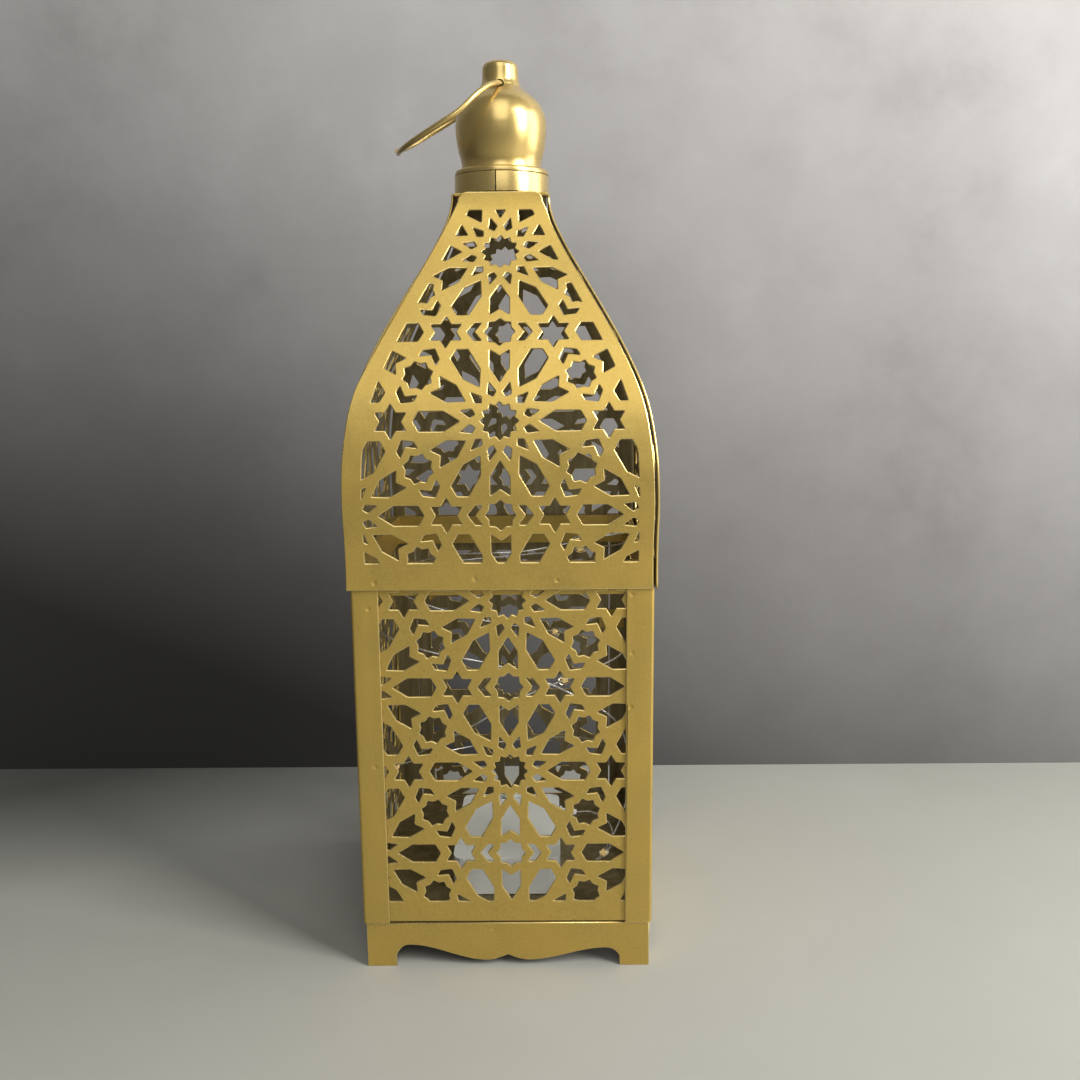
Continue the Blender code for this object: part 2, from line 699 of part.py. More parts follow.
def make_collar(gold):
    top = COLLAR_Z + COLLAR_H
    section = tube_profile(COLLAR_R, COLLAR_R - SHEET, COLLAR_Z, top)
    obj = turned("collar_band", section, 32, gold, closed=True)
    half = COLLAR_SEAM / 2
    cut_box(obj, (COLLAR_R - CUT_PAST, -half, COLLAR_Z - CUT_PAST),
            (COLLAR_R + CUT_PAST, half, top + CUT_PAST), COLLAR_SEAM_ANGLE)


# Finial

def finial_profile():
    """Outer profile from the top down, as (radius, height above the finial's foot)."""
    h = FINIAL_H
    knots = [
        (0.0, h), (0.60 * KNOB_R, 0.992 * h), (0.90 * KNOB_R, 0.962 * h), (KNOB_R, 0.91 * h),
        (1.02 * KNOB_R, 0.83 * h), (NECK_R, 0.768 * h), (0.50 * (NECK_R + BULB_R), 0.675 * h),
        (0.93 * BULB_R, 0.573 * h), (BULB_R, 0.44 * h), (0.985 * BULB_R, 0.31 * h), (1.05 * WAIST_R, 0.18 * h),
        (WAIST_R, 0.09 * h), (1.05 * WAIST_R, 0.055 * h),
    ]
    curve = [(float(r), float(z)) for r, z in smooth_curve(knots, 2)]
    return curve + [(FINIAL_FOOT_R, 0.028 * h), (FINIAL_FOOT_R, 0.0)]


def finial_lining(outer):
    """Inner profile, a wall's thickness in from every second point of the outer one."""
    inner = [(0.0, FINIAL_H - FINIAL_WALL)]
    for before, (r, z), after in list(zip(outer, outer[1:-2], outer[2:]))[1::2]:
        run = math.hypot(after[0] - before[0], after[1] - before[1])
        across = ((before[1] - after[1]) / run, (after[0] - before[0]) / run)
        inner.append((max(r - FINIAL_WALL * across[0], 0.0), z - FINIAL_WALL * across[1]))
    foot = FINIAL_FOOT_R - FINIAL_WALL
    return inner + [(foot, 0.028 * FINIAL_H - 0.3 * FINIAL_WALL), (foot, 0.0)]


def radius_at(profile, height):
    radii = [r for r, z in reversed(profile)]
    heights = [z for r, z in reversed(profile)]
    return float(np.interp(height, heights, radii))


def make_finial(gold, outer, inner):
    profile = [(r, FINIAL_Z + z) for r, z in outer] + [(r, FINIAL_Z + z) for r, z in reversed(inner)]
    obj = turned("finial_shell", profile, 20, gold)
    cut_round(obj, (0, 0, RING_HOLE_Z), (0, 1, 0), RING_HOLE_R, 4 * NECK_R)


def make_finial_fixing(steel, inner):
    washer_top = CAP_TOP_Z - CAP_THICK - FIT
    head_top = washer_top - WASHER_THICK - FIT
    disc_low = FINIAL_Z + FIT
    disc_r = radius_at(inner, FIT + DISC_THICK) - FIT
    nut_low = disc_low + DISC_THICK + FIT
    screw_top = nut_low + NUT_H + SCREW_TIP
    turned("finial_screw", [(0, screw_top), (SCREW_R, screw_top), (SCREW_R, head_top), (HEAD_R, head_top),
                            (HEAD_R, head_top - HEAD_H), (0, head_top - HEAD_H)], 12, steel)
    washer = tube_profile(WASHER_R, SCREW_HOLE_R, washer_top - WASHER_THICK, washer_top)
    disc = tube_profile(disc_r, SCREW_HOLE_R, disc_low, disc_low + DISC_THICK)
    nut = tube_profile(HEAD_R, hexagon_bore(SCREW_HOLE_R), nut_low, nut_low + NUT_H)
    turned("finial_washer", washer, 16, steel, True)
    turned("finial_disc", disc, 20, steel, True)
    turned("finial_nut", nut, 6, steel, True)


def make_ring(gold, outer):
    """The ring's wire crosses the hole's axis where it passes the neck's wall."""
    neck = radius_at(outer, RING_HOLE_RISE)
    reach = math.sqrt(RING_R ** 2 - neck ** 2)
    drop = math.radians(RING_DROP)
    pivot = pivot_at("ring_axis", (0, 0, RING_HOLE_Z))
    bpy.ops.mesh.primitive_torus_add(major_radius=RING_R, minor_radius=RING_WIRE_R, major_segments=32,
                                     minor_segments=6)
    obj = bpy.context.object
    obj.name = "ring_handle"
    obj.data.materials.append(gold)
    for collection in list(obj.users_collection):
        collection.objects.unlink(obj)
    PARTS.objects.link(obj)
    obj.location = (-reach * math.cos(drop), 0.0, RING_HOLE_Z - reach * math.sin(drop))
    obj.rotation_euler = (0.0, -drop, 0.0)
    hang_on(obj, pivot)


# Door

def leaf_section(side):
    """Section of a hinge leaf about the hinge's axis; side is 1 for the door's leaf, -1 for the post's."""
    start = -math.asin((KNUCKLE_R - LEAF_THICK) / KNUCKLE_R)
    end = 1.5 * math.pi
    ring = [(LEAF_W, -KNUCKLE_R), (LEAF_W, -KNUCKLE_R + LEAF_THICK)]
    for k in range(12):
        a = start + (end - start) * k / 11
        ring.append((KNUCKLE_R * math.cos(a), KNUCKLE_R * math.sin(a)))
    points = [(side * x, y) for x, y in ring]
    return points if side > 0 else points[::-1]


def make_hinge(name, z, gold, steel, pivot):
    low = z - LEAF_H / 2
    high = z + LEAF_H / 2
    bore = regular(12, KNUCKLE_BORE_R)[::-1]
    door_leaf = prism("door_leaf_" + name, leaf_section(1), low, high, gold, (bore,))
    post_leaf = prism("post_leaf_" + name, leaf_section(-1), low, high, gold, (bore,))
    for obj in (door_leaf, post_leaf):
        obj.location = (HINGE_X, HINGE_Y, 0.0)
    hang_on(door_leaf, pivot)
    far = 2 * KNUCKLE_R
    clear = KNUCKLE_R + FIT
    cut_box(door_leaf, (HINGE_X - far, HINGE_Y - far, z + KNUCKLE_HALF),
            (HINGE_X + clear, HINGE_Y + far, high + CUT_PAST))
    cut_box(door_leaf, (HINGE_X - far, HINGE_Y - far, low - CUT_PAST),
            (HINGE_X + clear, HINGE_Y + far, z - KNUCKLE_HALF))
    cut_box(post_leaf, (HINGE_X - clear, HINGE_Y - far, z - KNUCKLE_HALF - FIT),
            (HINGE_X + far, HINGE_Y + far, z + KNUCKLE_HALF + FIT))
    head = high + FIT
    profile = [(0, head + PIN_HEAD_H), (PIN_HEAD_R, head + PIN_HEAD_H), (PIN_HEAD_R, head),
               (PIN_R, head), (PIN_R, low - FIT), (0, low - FIT)]
    pin = turned("hinge_pin_" + name, profile, 12, steel)
    pin.location = (HINGE_X, HINGE_Y, 0.0)


def make_pull(gold, steel, pivot):
    middle = PULL_STEM + PULL_H / 2
    turns = [math.radians(a) for a in (0, 35, 62, 90, 118)]
    head = [(PULL_R * math.sin(a), middle + PULL_H / 2 * math.cos(a)) for a in turns]
    nut_low = -SHEET - FIT - PULL_NUT_H
    end = nut_low - FIT
    profile = [*head, (PULL_NECK_R, PULL_STEM), (PULL_NUT_R, FIT + PULL_FLANGE), (PULL_NUT_R, FIT),
               (PULL_SHANK_R, FIT), (PULL_SHANK_R, end), (0, end)]
    knob = turned("door_knob", profile, 12, gold)
    nut_profile = tube_profile(PULL_NUT_R, hexagon_bore(PULL_SHANK_R + FIT), nut_low, -SHEET - FIT)
    nut = turned("door_knob_nut", nut_profile, 6, steel, True)
    for obj in (knob, nut):
        point_along(obj, (0, 1, 0), (PULL_X, BODY_HALF, PULL_Z))
        hang_on(obj, pivot)


def make_door(gold, steel):
    pivot = pivot_at("door_axis", (HINGE_X, HINGE_Y, 0.0))
    outline = rectangle(DOOR_HALF, DOOR_FOOT_Z, DOOR_TOP_Z)
    window = rectangle(DOOR_HALF - DOOR_BORDER, DOOR_FOOT_Z + DOOR_FOOT_BAND, DOOR_TOP_Z - DOOR_BORDER)
    holes = pierced(window, (ROSETTE_X, ROSETTE_Z), ROSETTE_PITCH)
    shank_hole = [(x - PULL_X, y + PULL_Z) for x, y in regular(10, PULL_SHANK_R + FIT)][::-1]
    panel = upright_sheet("door_panel", outline, [*holes, shank_hole], BODY_HALF, gold, 180)
    hang_on(panel, pivot)
    make_hinge("lower", DOOR_FOOT_Z + HINGE_INSET, gold, steel, pivot)
    make_hinge("upper", DOOR_TOP_Z - HINGE_INSET, gold, steel, pivot)
    make_pull(gold, steel, pivot)
    stop_x = POST_INNER_X - STOP_REACH
    stop_z = PULL_Z + STOP_RISE
    box("door_stop", (stop_x, PANEL_FACE - STOP_THICK, stop_z),
        (stop_x + STOP_W, PANEL_FACE, stop_z + STOP_H), gold)


# Battery case on the floor plate

def make_case(plastic):
    obj = box("battery_case", (CASE_X - CASE_W / 2, CASE_FRONT, CASE_Z),
              (CASE_RIGHT, CASE_REAR, CASE_TOP_Z), plastic, CASE_CORNER)
    rear = CASE_REAR + CUT_PAST
    ledge = BAY_HALF - COVER_LIP_W
    cut_box(obj, (CASE_X - BAY_HALF, BAY_FRONT, CASE_Z + COVER_LIP), (CASE_X + BAY_HALF, rear, BAY_Z))
    cut_box(obj, (CASE_X - ledge, BAY_FRONT + COVER_LIP_W, CASE_Z - CUT_PAST),
            (CASE_X + ledge, rear, CASE_Z + COVER_LIP + FIT))
    cut_box(obj, (CASE_X - BAY_HALF, BAY_FRONT, BAY_Z - FIT), (CASE_X + BAY_HALF, BAY_REAR, BAY_TOP_Z))
    cut_box(obj, (CASE_X - BAY_HALF, BOARD_FRONT, BAY_Z - FIT), (CASE_X + BAY_HALF, BOARD_REAR, BAY_TOP_Z))
    slot_x = SWITCH_STEM[0] / 2 + SWITCH_TRAVEL + FIT
    slot_y = SWITCH_STEM[1] / 2 + FIT
    cut_box(obj, (CASE_X - slot_x, LEAD_Y - slot_y, BAY_TOP_Z - CASE_TOP),
            (CASE_X + slot_x, LEAD_Y + slot_y, CASE_TOP_Z + CUT_PAST))
    cut_round(obj, (CASE_RIGHT - CASE_WALL / 2, LEAD_Y, LEAD_Z), (1, 0, 0), GLAND_R + FIT, 2 * CASE_WALL)


def make_cover(plastic):
    low = CASE_Z + COVER_LIP + FIT
    half = BAY_HALF - FIT
    pivot = pivot_at("cover_track", (CASE_X, CASE_REAR, low))
    obj = box("battery_cover", (CASE_X - half, BAY_FRONT + FIT, low),
              (CASE_X + half, CASE_REAR, low + COVER_THICK), plastic)
    hang_on(obj, pivot)


def make_cells(wrap):
    """The cells lie in series, every other one turned round; the plus ends touch the contact plates."""
    shoulder = CELL_L / 2 - CELL_NUB_H
    profile = [(0, CELL_L / 2), (CELL_NUB_R, CELL_L / 2), (CELL_NUB_R, shoulder),
               (CELL_R - CELL_EDGE, shoulder), (CELL_R, shoulder - CELL_EDGE),
               (CELL_R, CELL_EDGE - CELL_L / 2), (CELL_R - CELL_EDGE, -CELL_L / 2), (0, -CELL_L / 2)]
    shift = (BAY_L - CELL_L) / 2 - CONTACT_THICK - 2 * FIT
    for i in range(CELL_COUNT):
        facing = -1 if i % 2 else 1
        obj = turned("battery_cell_" + str(i + 1), profile, 14, wrap)
        place = (cell_x(i), (BAY_FRONT + BAY_REAR) / 2 + facing * shift, BAY_Z + CELL_R)
        point_along(obj, (0, facing, 0), place)


def cell_x(i):
    return CASE_X + (i - (CELL_COUNT - 1) / 2) * CELL_PITCH


def make_contact(name, first, last, front, springs, steel):
    """A contact plate at the front or rear end of the cells, with a spring at each minus end."""
    half = 0.75 * CELL_R
    face = BAY_FRONT + FIT if front else BAY_REAR - FIT
    inward = 1 if front else -1
    ends = sorted((face, face + inward * CONTACT_THICK))
    mid_z = BAY_Z + CELL_R
    plate = box(name, (cell_x(first) - half, ends[0], mid_z - half),
                (cell_x(last) + half, ends[1], mid_z + half), steel)
    length = CONTACT_SPRING + CONTACT_THICK / 2 - FIT
    for i in springs:
        middle = (cell_x(i), face + inward * (CONTACT_THICK / 2 + length / 2), mid_z)
        cone = round_helper(name + "_spring_" + str(i), middle, (0, inward, 0), SPRING_R, length, 10)
        boolean(plate, cone, "UNION")


def make_electronics(board, plastic, steel):
    make_contact("contact_front_bridge", 0, 1, True, (0,), steel)
    make_contact("contact_front_end", 2, 2, True, (2,), steel)
    make_contact("contact_rear_end", 0, 0, False, (), steel)
    make_contact("contact_rear_bridge", 1, 2, False, (1,), steel)
    low = BAY_Z + FIT
    high = BAY_TOP_Z - FIT
    board_y = BOARD_FRONT + FIT
    half = BOARD_W / 2
    box("timer_board", (CASE_X - half, board_y, low), (CASE_X + half, board_y + BOARD_THICK, high), board)
    frame_top = BAY_TOP_Z - SWITCH_DEPTH - FIT
    frame_half = SWITCH_STEM[0] / 2 + SWITCH_TRAVEL + SWITCH_FRAME_WALL
    frame_y = board_y + BOARD_THICK + FIT
    box("switch_frame", (CASE_X - frame_half, frame_y, frame_top - SWITCH_FRAME_H),
        (CASE_X + frame_half, BOARD_REAR - FIT, frame_top), plastic)


def make_switch(plastic):
    pivot = pivot_at("switch_track", (CASE_X, LEAD_Y, CASE_TOP_Z))
    cap_x, cap_y, cap_h = SWITCH_CAP
    cap_z = CASE_TOP_Z + FIT
    stem_x, stem_y = SWITCH_STEM
    slider = box("switch_slider", (CASE_X - cap_x / 2, LEAD_Y - cap_y / 2, cap_z),
                 (CASE_X + cap_x / 2, LEAD_Y + cap_y / 2, cap_z + cap_h), plastic)
    join_box(slider, (CASE_X - stem_x / 2, LEAD_Y - stem_y / 2, BAY_TOP_Z - SWITCH_DEPTH),
             (CASE_X + stem_x / 2, LEAD_Y + stem_y / 2, cap_z + cap_h / 2))
    hang_on(slider, pivot)


def make_gland(plastic):
    """Stepped plug in the case's right wall; the wire meets its tip."""
    tip = GLAND_L + GLAND_FLANGE
    inside = -CASE_WALL - GLAND_INSIDE
    gland = turned("lead_gland", [(0, tip), (0.6 * GLAND_R, tip), (GLAND_R, GLAND_FLANGE),
                                  (1.5 * GLAND_R, GLAND_FLANGE), (1.5 * GLAND_R, FIT), (GLAND_R, FIT),
                                  (GLAND_R, inside), (0, inside)], 12, plastic)
    point_along(gland, (1, 0, 0), (CASE_RIGHT, LEAD_Y, LEAD_Z))


# Light wire and its drops

def make_wire(silver, clear):
    route = even_points(smooth_curve(WIRE_ROUTE, 12), WIRE_POINTS)
    data = bpy.data.curves.new("light_wire", "CURVE")
    data.dimensions = "3D"
    data.bevel_depth = WIRE_R
    data.bevel_resolution = 2
    data.use_fill_caps = True
    spline = data.splines.new("POLY")
    spline.points.add(len(route) - 1)
    for point, place in zip(spline.points, route):
        point.co = (*place, 1.0)
    add_object("light_wire", data, silver)
    bore = hexagon_bore(WIRE_R + FIT)
    half = DROP_L / 2
    profile = [(0.6 * DROP_R, half), (DROP_R, 0.0), (0.6 * DROP_R, -half), (bore, -half), (bore, half)]
    for i in range(DROP_COUNT):
        start = DROP_FIRST + i * DROP_EVERY
        drop = turned("led_drop_" + str(i + 1).zfill(2), profile, 6, clear, True)
        point_along(drop, route[start + 1] - route[start], Vector((route[start] + route[start + 1]) / 2))


def build():
    gold = material("gold_paint", (0.36, 0.24, 0.075), 0.38, 0.75)
    steel = material("steel", (0.55, 0.55, 0.53), 0.35, 1.0)
    plastic = material("pale_plastic", (0.72, 0.73, 0.68), 0.25, 0.0)
    wrap = material("cell_wrap", (0.10, 0.12, 0.13), 0.35, 0.2)
    board = material("circuit_board", (0.05, 0.18, 0.07), 0.5, 0.0)
    silver = material("silver_wire", (0.75, 0.74, 0.70), 0.3, 1.0)
    clear = material("clear_drop", (1.0, 0.86, 0.55), 0.1, 0.0, 0.6)
    outer = finial_profile()
    inner = finial_lining(outer)
    make_skirts(gold)
    make_floor(gold)
    make_posts(gold)
    make_body_panels(gold)
    make_upper_frame(gold)
    make_roof(gold)
    make_cap(gold)
    make_collar(gold)
    make_finial(gold, outer, inner)
    make_finial_fixing(steel, inner)
    make_ring(gold, outer)
    make_door(gold, steel)
    make_case(plastic)
    make_cover(plastic)
    make_cells(wrap)
    make_electronics(board, plastic, steel)
    make_switch(plastic)
    make_gland(plastic)
    make_wire(silver, clear)


build()
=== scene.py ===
"""Looks of a square pierced-metal lantern with a battery light wire inside.

Metres, +Z up; the front faces -Y. Sheet pieces are drawn flat as seen from the front, given
their rounded rims, bent to shape and turned about Z onto their side.
"""
import math

import bmesh
import bpy
import numpy as np
from mathutils import Matrix, Vector


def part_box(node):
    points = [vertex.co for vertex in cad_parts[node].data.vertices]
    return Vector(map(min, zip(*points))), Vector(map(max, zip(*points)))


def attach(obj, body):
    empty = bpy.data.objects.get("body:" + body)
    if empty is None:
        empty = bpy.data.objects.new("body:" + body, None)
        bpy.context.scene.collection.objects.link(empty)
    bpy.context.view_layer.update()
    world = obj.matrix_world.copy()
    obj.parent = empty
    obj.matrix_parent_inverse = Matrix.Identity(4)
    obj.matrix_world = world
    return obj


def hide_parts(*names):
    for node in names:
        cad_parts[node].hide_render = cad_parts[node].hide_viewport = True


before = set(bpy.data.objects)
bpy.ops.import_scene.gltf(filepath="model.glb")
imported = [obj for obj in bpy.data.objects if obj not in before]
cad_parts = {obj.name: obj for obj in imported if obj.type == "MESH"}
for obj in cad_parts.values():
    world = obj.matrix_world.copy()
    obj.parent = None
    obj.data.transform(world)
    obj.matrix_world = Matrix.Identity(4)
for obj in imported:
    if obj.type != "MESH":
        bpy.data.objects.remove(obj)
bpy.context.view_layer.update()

# Camera, at the photograph's viewing angle
CAMERA_PLACE = (0.0160, -0.3958, 0.2143)
CAMERA_YAW = 0.56
CAMERA_PITCH = 10.27
CAMERA_ROLL = -0.57
LENS = 36.07
SENSOR = 36.0

# Sheet metal
SHEET = 0.0007
FIT = 0.0003
RIM = 0.00032             # rounding of a stamped front edge
CORNER = 0.00035          # rounding of an opening's corners
SMALLEST_HOLE = 0.0009    # an opening that is clipped to less than a square of this side is left out
ROUND_SHARE = 0.35        # a corner's rounding takes at most this share of its sides

# Pierced pattern: its lengths belong to the body's pitch, and the roof's panels scale them
BODY_PITCH = 0.0594
ROOF_PITCH = 0.0606
ROSETTE_RISE = 0.0554     # a panel's full rosette above the posts' foot
ROSETTE_X = 0.0016
ROOF_ROSETTE_RISE = 0.0551
KITE = ((0.0080, 0.0), (0.0094, 0.0014), (0.0128, 0.0))
PETAL = ((0.0126, 0.0), (0.0176, 0.00315), (0.0254, 0.00315), (0.0272, 0.0))
ARROW = ((0.0124, 0.0), (0.0174, 0.0031), (0.0234, 0.0031), (0.0213, 0.0))
CENTRE_STAR = (12, 0.0061, 0.0048)
MIDWAY_STAR = (8, 0.0049, 0.0039)
CORNER_STAR = (6, 0.0056, 0.00325)
CHEVRON = (
    (0.0058, 0.0031), (0.0081, 0.0), (0.0058, -0.0031), (0.0080, -0.0031), (0.0104, 0.0), (0.0080, 0.0031),
)

# Places that come from the frame
POST_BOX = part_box("corner_post_front_right")
PANEL_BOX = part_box("body_panel_front")
DOOR_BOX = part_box("door_panel")
ROOF_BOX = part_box("roof_panel_front")
SKIRT_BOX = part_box("skirt_front")
COLLAR_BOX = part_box("collar_band")
FINIAL_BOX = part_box("finial_shell")
BODY_HALF = POST_BOX[1].x
POST_INNER = POST_BOX[0].x
POST_FOOT_Z = POST_BOX[0].z
POST_TOP_Z = POST_BOX[1].z
EAVES_Z = ROOF_BOX[0].z
EAVES_FACE = BODY_HALF + FIT + SHEET
PANEL_FACE = -PANEL_BOX[0].y
COLLAR_R = COLLAR_BOX[1].x
ROOF_TOP_FACE = COLLAR_R + SHEET / 7

# Body
POST_CORNER = 0.0011
PANEL_BAND = 0.0076       # plain band at a panel's foot
PANEL_LAP = 0.0012        # the openings run this far behind the posts and the eaves
DOOR_BORDER = 0.0053
DOOR_FOOT_BAND = 0.0044
DENT_R = 0.0013
DENT_DEPTH = 0.00022
DENT_STEPS = ((0.74, 0.08), (0.48, 0.55), (0.2, 1.0))    # share of a dent's radius, share of its depth

# Roof: share of its height, and share of the way out from the collar to the eaves
ROOF_SHAPE = (
    (0.0, 1.0), (0.10, 0.999), (0.23, 1.009), (0.35, 0.985), (0.474, 0.901),
    (0.595, 0.717), (0.719, 0.468), (0.848, 0.190), (0.93, 0.045), (0.967, 0.010), (1.0, 0.0),
)
ROOF_SEAM = 0.0008
ROOF_CORNER = 0.0032
ROOF_TOP_HALF = 0.0129
ROOF_TAPER = 0.47         # half width that a panel gains per length down from its top
ROOF_BORDER = 0.0050
ROOF_TOP_BORDER = 0.0062
EAVES_BAND = 0.0092
ROOF_SLICE = 0.0025       # a bent sheet gets an edge this often

# Skirt
SKIRT_FLANGE = 0.0040
FOOT_W = 0.0102
ARCH_LEFT = 0.0080
ARCH_RIGHT = 0.0066
ARCH_SHOULDER = 0.0045
LOBE_CLEAR = 0.0021
LOBE_X = 0.0070
CUSP_H = 0.0042
VALANCE_STEP = 0.00022
SKIRT_SPOT = (-0.0051, 0.0139)    # a spot weld
SKIRT_SPOT_R = 0.0006

# Finial and ring
BULB_R = 0.0158
WAIST_R = 0.0139
NECK_R = 0.0073
KNOB_R = 0.0062
FINIAL_WALL = 0.0008
RING_HOLE_RISE = 0.0293
RING_HOLE_R = 0.0015
RING_R = 0.0215
RING_WIRE_R = 0.0009
RING_DROP = 30
RING_GAP = 0.0009         # between the wire's two ends
RING_STAGGER = 0.0004     # the ends stand this far off the ring's plane, on opposite sides
RING_LEAN = 9.8           # the hand-bent wire twists out of true past the finial's shoulder
RING_LEAN_FROM = 0.0010
RING_LEAN_TO = 0.0190
COLLAR_SEAM = 0.0004
COLLAR_SEAM_ANGLE = -95
COLLAR_EASE = 0.0004      # rounding of the collar's top edge

# Light wire: the same route as the construction's
WIRE_R = 0.0003
WIRE_POINTS = 72
WIRE_ROUTE = (
    (0.0261, 0.0221, 0.0249), (0.0320, 0.0221, 0.0249), (0.0390, 0.0150, 0.0230),
    (0.0380, -0.0020, 0.0208), (0.0300, -0.0200, 0.0230), (0.0350, -0.0370, 0.0380),
    (0.0420, -0.0435, 0.0620), (0.0390, -0.0440, 0.0860), (0.0220, -0.0445, 0.0980),
    (-0.0020, -0.0455, 0.1080), (-0.0260, -0.0445, 0.1130), (-0.0430, -0.0340, 0.1170),
    (-0.0468, -0.0080, 0.1200), (-0.0420, 0.0200, 0.1230), (-0.0260, 0.0410, 0.1260),
    (0.0020, 0.0450, 0.1280), (0.0300, 0.0385, 0.1320), (0.0435, 0.0160, 0.1380),
    (0.0440, -0.0120, 0.1470), (0.0320, -0.0360, 0.1500), (0.0080, -0.0445, 0.1470),
    (-0.0180, -0.0410, 0.1450), (-0.0370, -0.0250, 0.1370), (-0.0425, 0.0020, 0.1240),
    (-0.0330, 0.0280, 0.1110), (-0.0100, 0.0410, 0.1010), (0.0170, 0.0390, 0.0970),
    (0.0380, 0.0210, 0.0980), (0.0420, -0.0070, 0.1010), (0.0300, -0.0310, 0.1020),
    (0.0070, -0.0415, 0.0960), (-0.0140, -0.0420, 0.0840), (-0.0330, -0.0350, 0.0720),
    (-0.0425, -0.0140, 0.0600), (-0.0420, 0.0140, 0.0500), (-0.0270, 0.0370, 0.0460),
    (0.0000, 0.0435, 0.0480), (0.0250, 0.0360, 0.0520), (0.0380, 0.0200, 0.0560),
)
DROP_COUNT = 10
DROP_FIRST = 5
DROP_EVERY = 7
DROP_R = 0.0017
DROP_L = 0.0044
CHIP = (0.0009, 0.0008, 0.0016)

# Easing of the edges of nodes that keep their construction mesh
EDGE_EASE = {"battery_case": 0.0006, "battery_cover": 0.0003, "floor_plate": 0.0002, "upper_frame": 0.0002}
SMALL_EASE = 0.00015

# Studio
WALL_Y = 0.133            # where the table meets the wall
WALL_HALF = 0.50
WALL_TOP = 0.9
TABLE_HALF = 3.0
WALL_SHADE = (1.59, 0.0, 3.9)     # painted light and shade: the wall's colour pales to the right and upwards, as the light falls across it
WALL_SHADE_RANGE = (-0.05, 1.95)
TABLE_SHADE = (2.0, -3.0, 0.0)    # painted shadow: the table's colour darkens at the back left, where the lantern's shade falls
TABLE_SHADE_RANGE = (-0.80, -0.40)


# Camera and lights

def make_camera():
    yaw, pitch, roll = (math.radians(a) for a in (CAMERA_YAW, CAMERA_PITCH, CAMERA_ROLL))
    forward = Vector((-math.sin(yaw) * math.cos(pitch), math.cos(yaw) * math.cos(pitch), -math.sin(pitch)))
    level = Vector((math.cos(yaw), math.sin(yaw), 0.0))
    above = level.cross(forward)
    right = math.cos(roll) * level + math.sin(roll) * above
    up = math.cos(roll) * above - math.sin(roll) * level
    data = bpy.data.cameras.new("camera")
    data.lens = LENS
    data.sensor_width = SENSOR
    data.clip_start = 0.01
    data.clip_end = 50.0
    camera = bpy.data.objects.new("camera", data)
    bpy.context.scene.collection.objects.link(camera)
    turn = Matrix((right, up, -forward)).transposed().to_4x4()
    camera.matrix_world = Matrix.Translation(CAMERA_PLACE) @ turn
    bpy.context.scene.camera = camera


def make_lamp(name, place, target, size, power, colour):
    data = bpy.data.lights.new(name, "AREA")
    data.shape = "RECTANGLE"
    data.size, data.size_y = size
    data.energy = power
    data.color = colour
    lamp = bpy.data.objects.new(name, data)
    bpy.context.scene.collection.objects.link(lamp)
    lamp.location = place
    lamp.rotation_euler = (Vector(target) - Vector(place)).to_track_quat("-Z", "Y").to_euler()


def make_lights():
    middle = (0.0, 0.0, 0.16)
    make_lamp("window_lamp", (0.95, -0.62, 0.74), middle, (0.45, 0.90), 25.0, (1.0, 0.985, 0.96))
    make_lamp("side_lamp", (1.10, 0.10, 0.50), middle, (0.8, 0.9), 11.0, (1.0, 0.99, 0.97))
    make_lamp("high_lamp", (0.05, -1.10, 1.15), middle, (0.8, 1.5), 9.0, (1.0, 0.99, 0.98))
    make_lamp("rear_lamp", (-0.50, 1.20, 0.85), middle, (1.4, 1.0), 5.0, (0.96, 0.98, 1.0))
    world = bpy.data.worlds.new("studio")
    bpy.context.scene.world = world
    world.use_nodes = True
    sky = world.node_tree.nodes["Background"]
    sky.inputs["Color"].default_value = (0.80, 0.82, 0.85, 1.0)
    sky.inputs["Strength"].default_value = 0.22


# Meshes

def rotate_z(degrees):
    return Matrix.Rotation(math.radians(degrees), 4, "Z")


def new_piece(name, bm, mats, nodes, body="root", turn=0.0):
    """Makes a bmesh the mesh of a piece that rides on a body and stands for CAD nodes."""
    mesh = bpy.data.meshes.new(name)
    bm.to_mesh(mesh)
    bm.free()
    for mat in mats if isinstance(mats, (list, tuple)) else (mats,):
        mesh.materials.append(mat)
    mesh.transform(rotate_z(turn))
    obj = bpy.data.objects.new(name, mesh)
    bpy.context.scene.collection.objects.link(obj)
    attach(obj, body)
    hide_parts(*nodes)
    return obj


def smooth_curve(points, steps):
    """A smooth curve through the points, with the given number of steps between each pair."""
    pts = np.array(points, dtype=float)
    pts = np.vstack([2 * pts[0] - pts[1], pts, 2 * pts[-1] - pts[-2]])
    out = []
    for i in range(1, len(pts) - 2):
        p0, p1, p2, p3 = pts[i - 1:i + 3]
        t1 = np.linalg.norm(p1 - p0) ** 0.5
        t2 = t1 + np.linalg.norm(p2 - p1) ** 0.5
        t3 = t2 + np.linalg.norm(p3 - p2) ** 0.5
        for t in np.linspace(t1, t2, steps, endpoint=False):
            a1 = p0 + (p1 - p0) * t / t1
            a2 = p1 + (p2 - p1) * (t - t1) / (t2 - t1)
            a3 = p2 + (p3 - p2) * (t - t2) / (t3 - t2)
            b1 = a1 + (a2 - a1) * t / t2
            b2 = a2 + (a3 - a2) * (t - t1) / (t3 - t1)
            out.append(b1 + (b2 - b1) * (t - t1) / (t2 - t1))
    out.append(pts[-2])
    return np.array(out)


def lengths_along(curve):
    steps = np.linalg.norm(np.diff(curve, axis=0), axis=1)
    return np.concatenate([[0.0], np.cumsum(steps)])


def around(ring):
    """Each point of a closed ring with the one before and the one after."""
    return zip(ring[-1:] + ring[:-1], ring, ring[1:] + ring[:1])


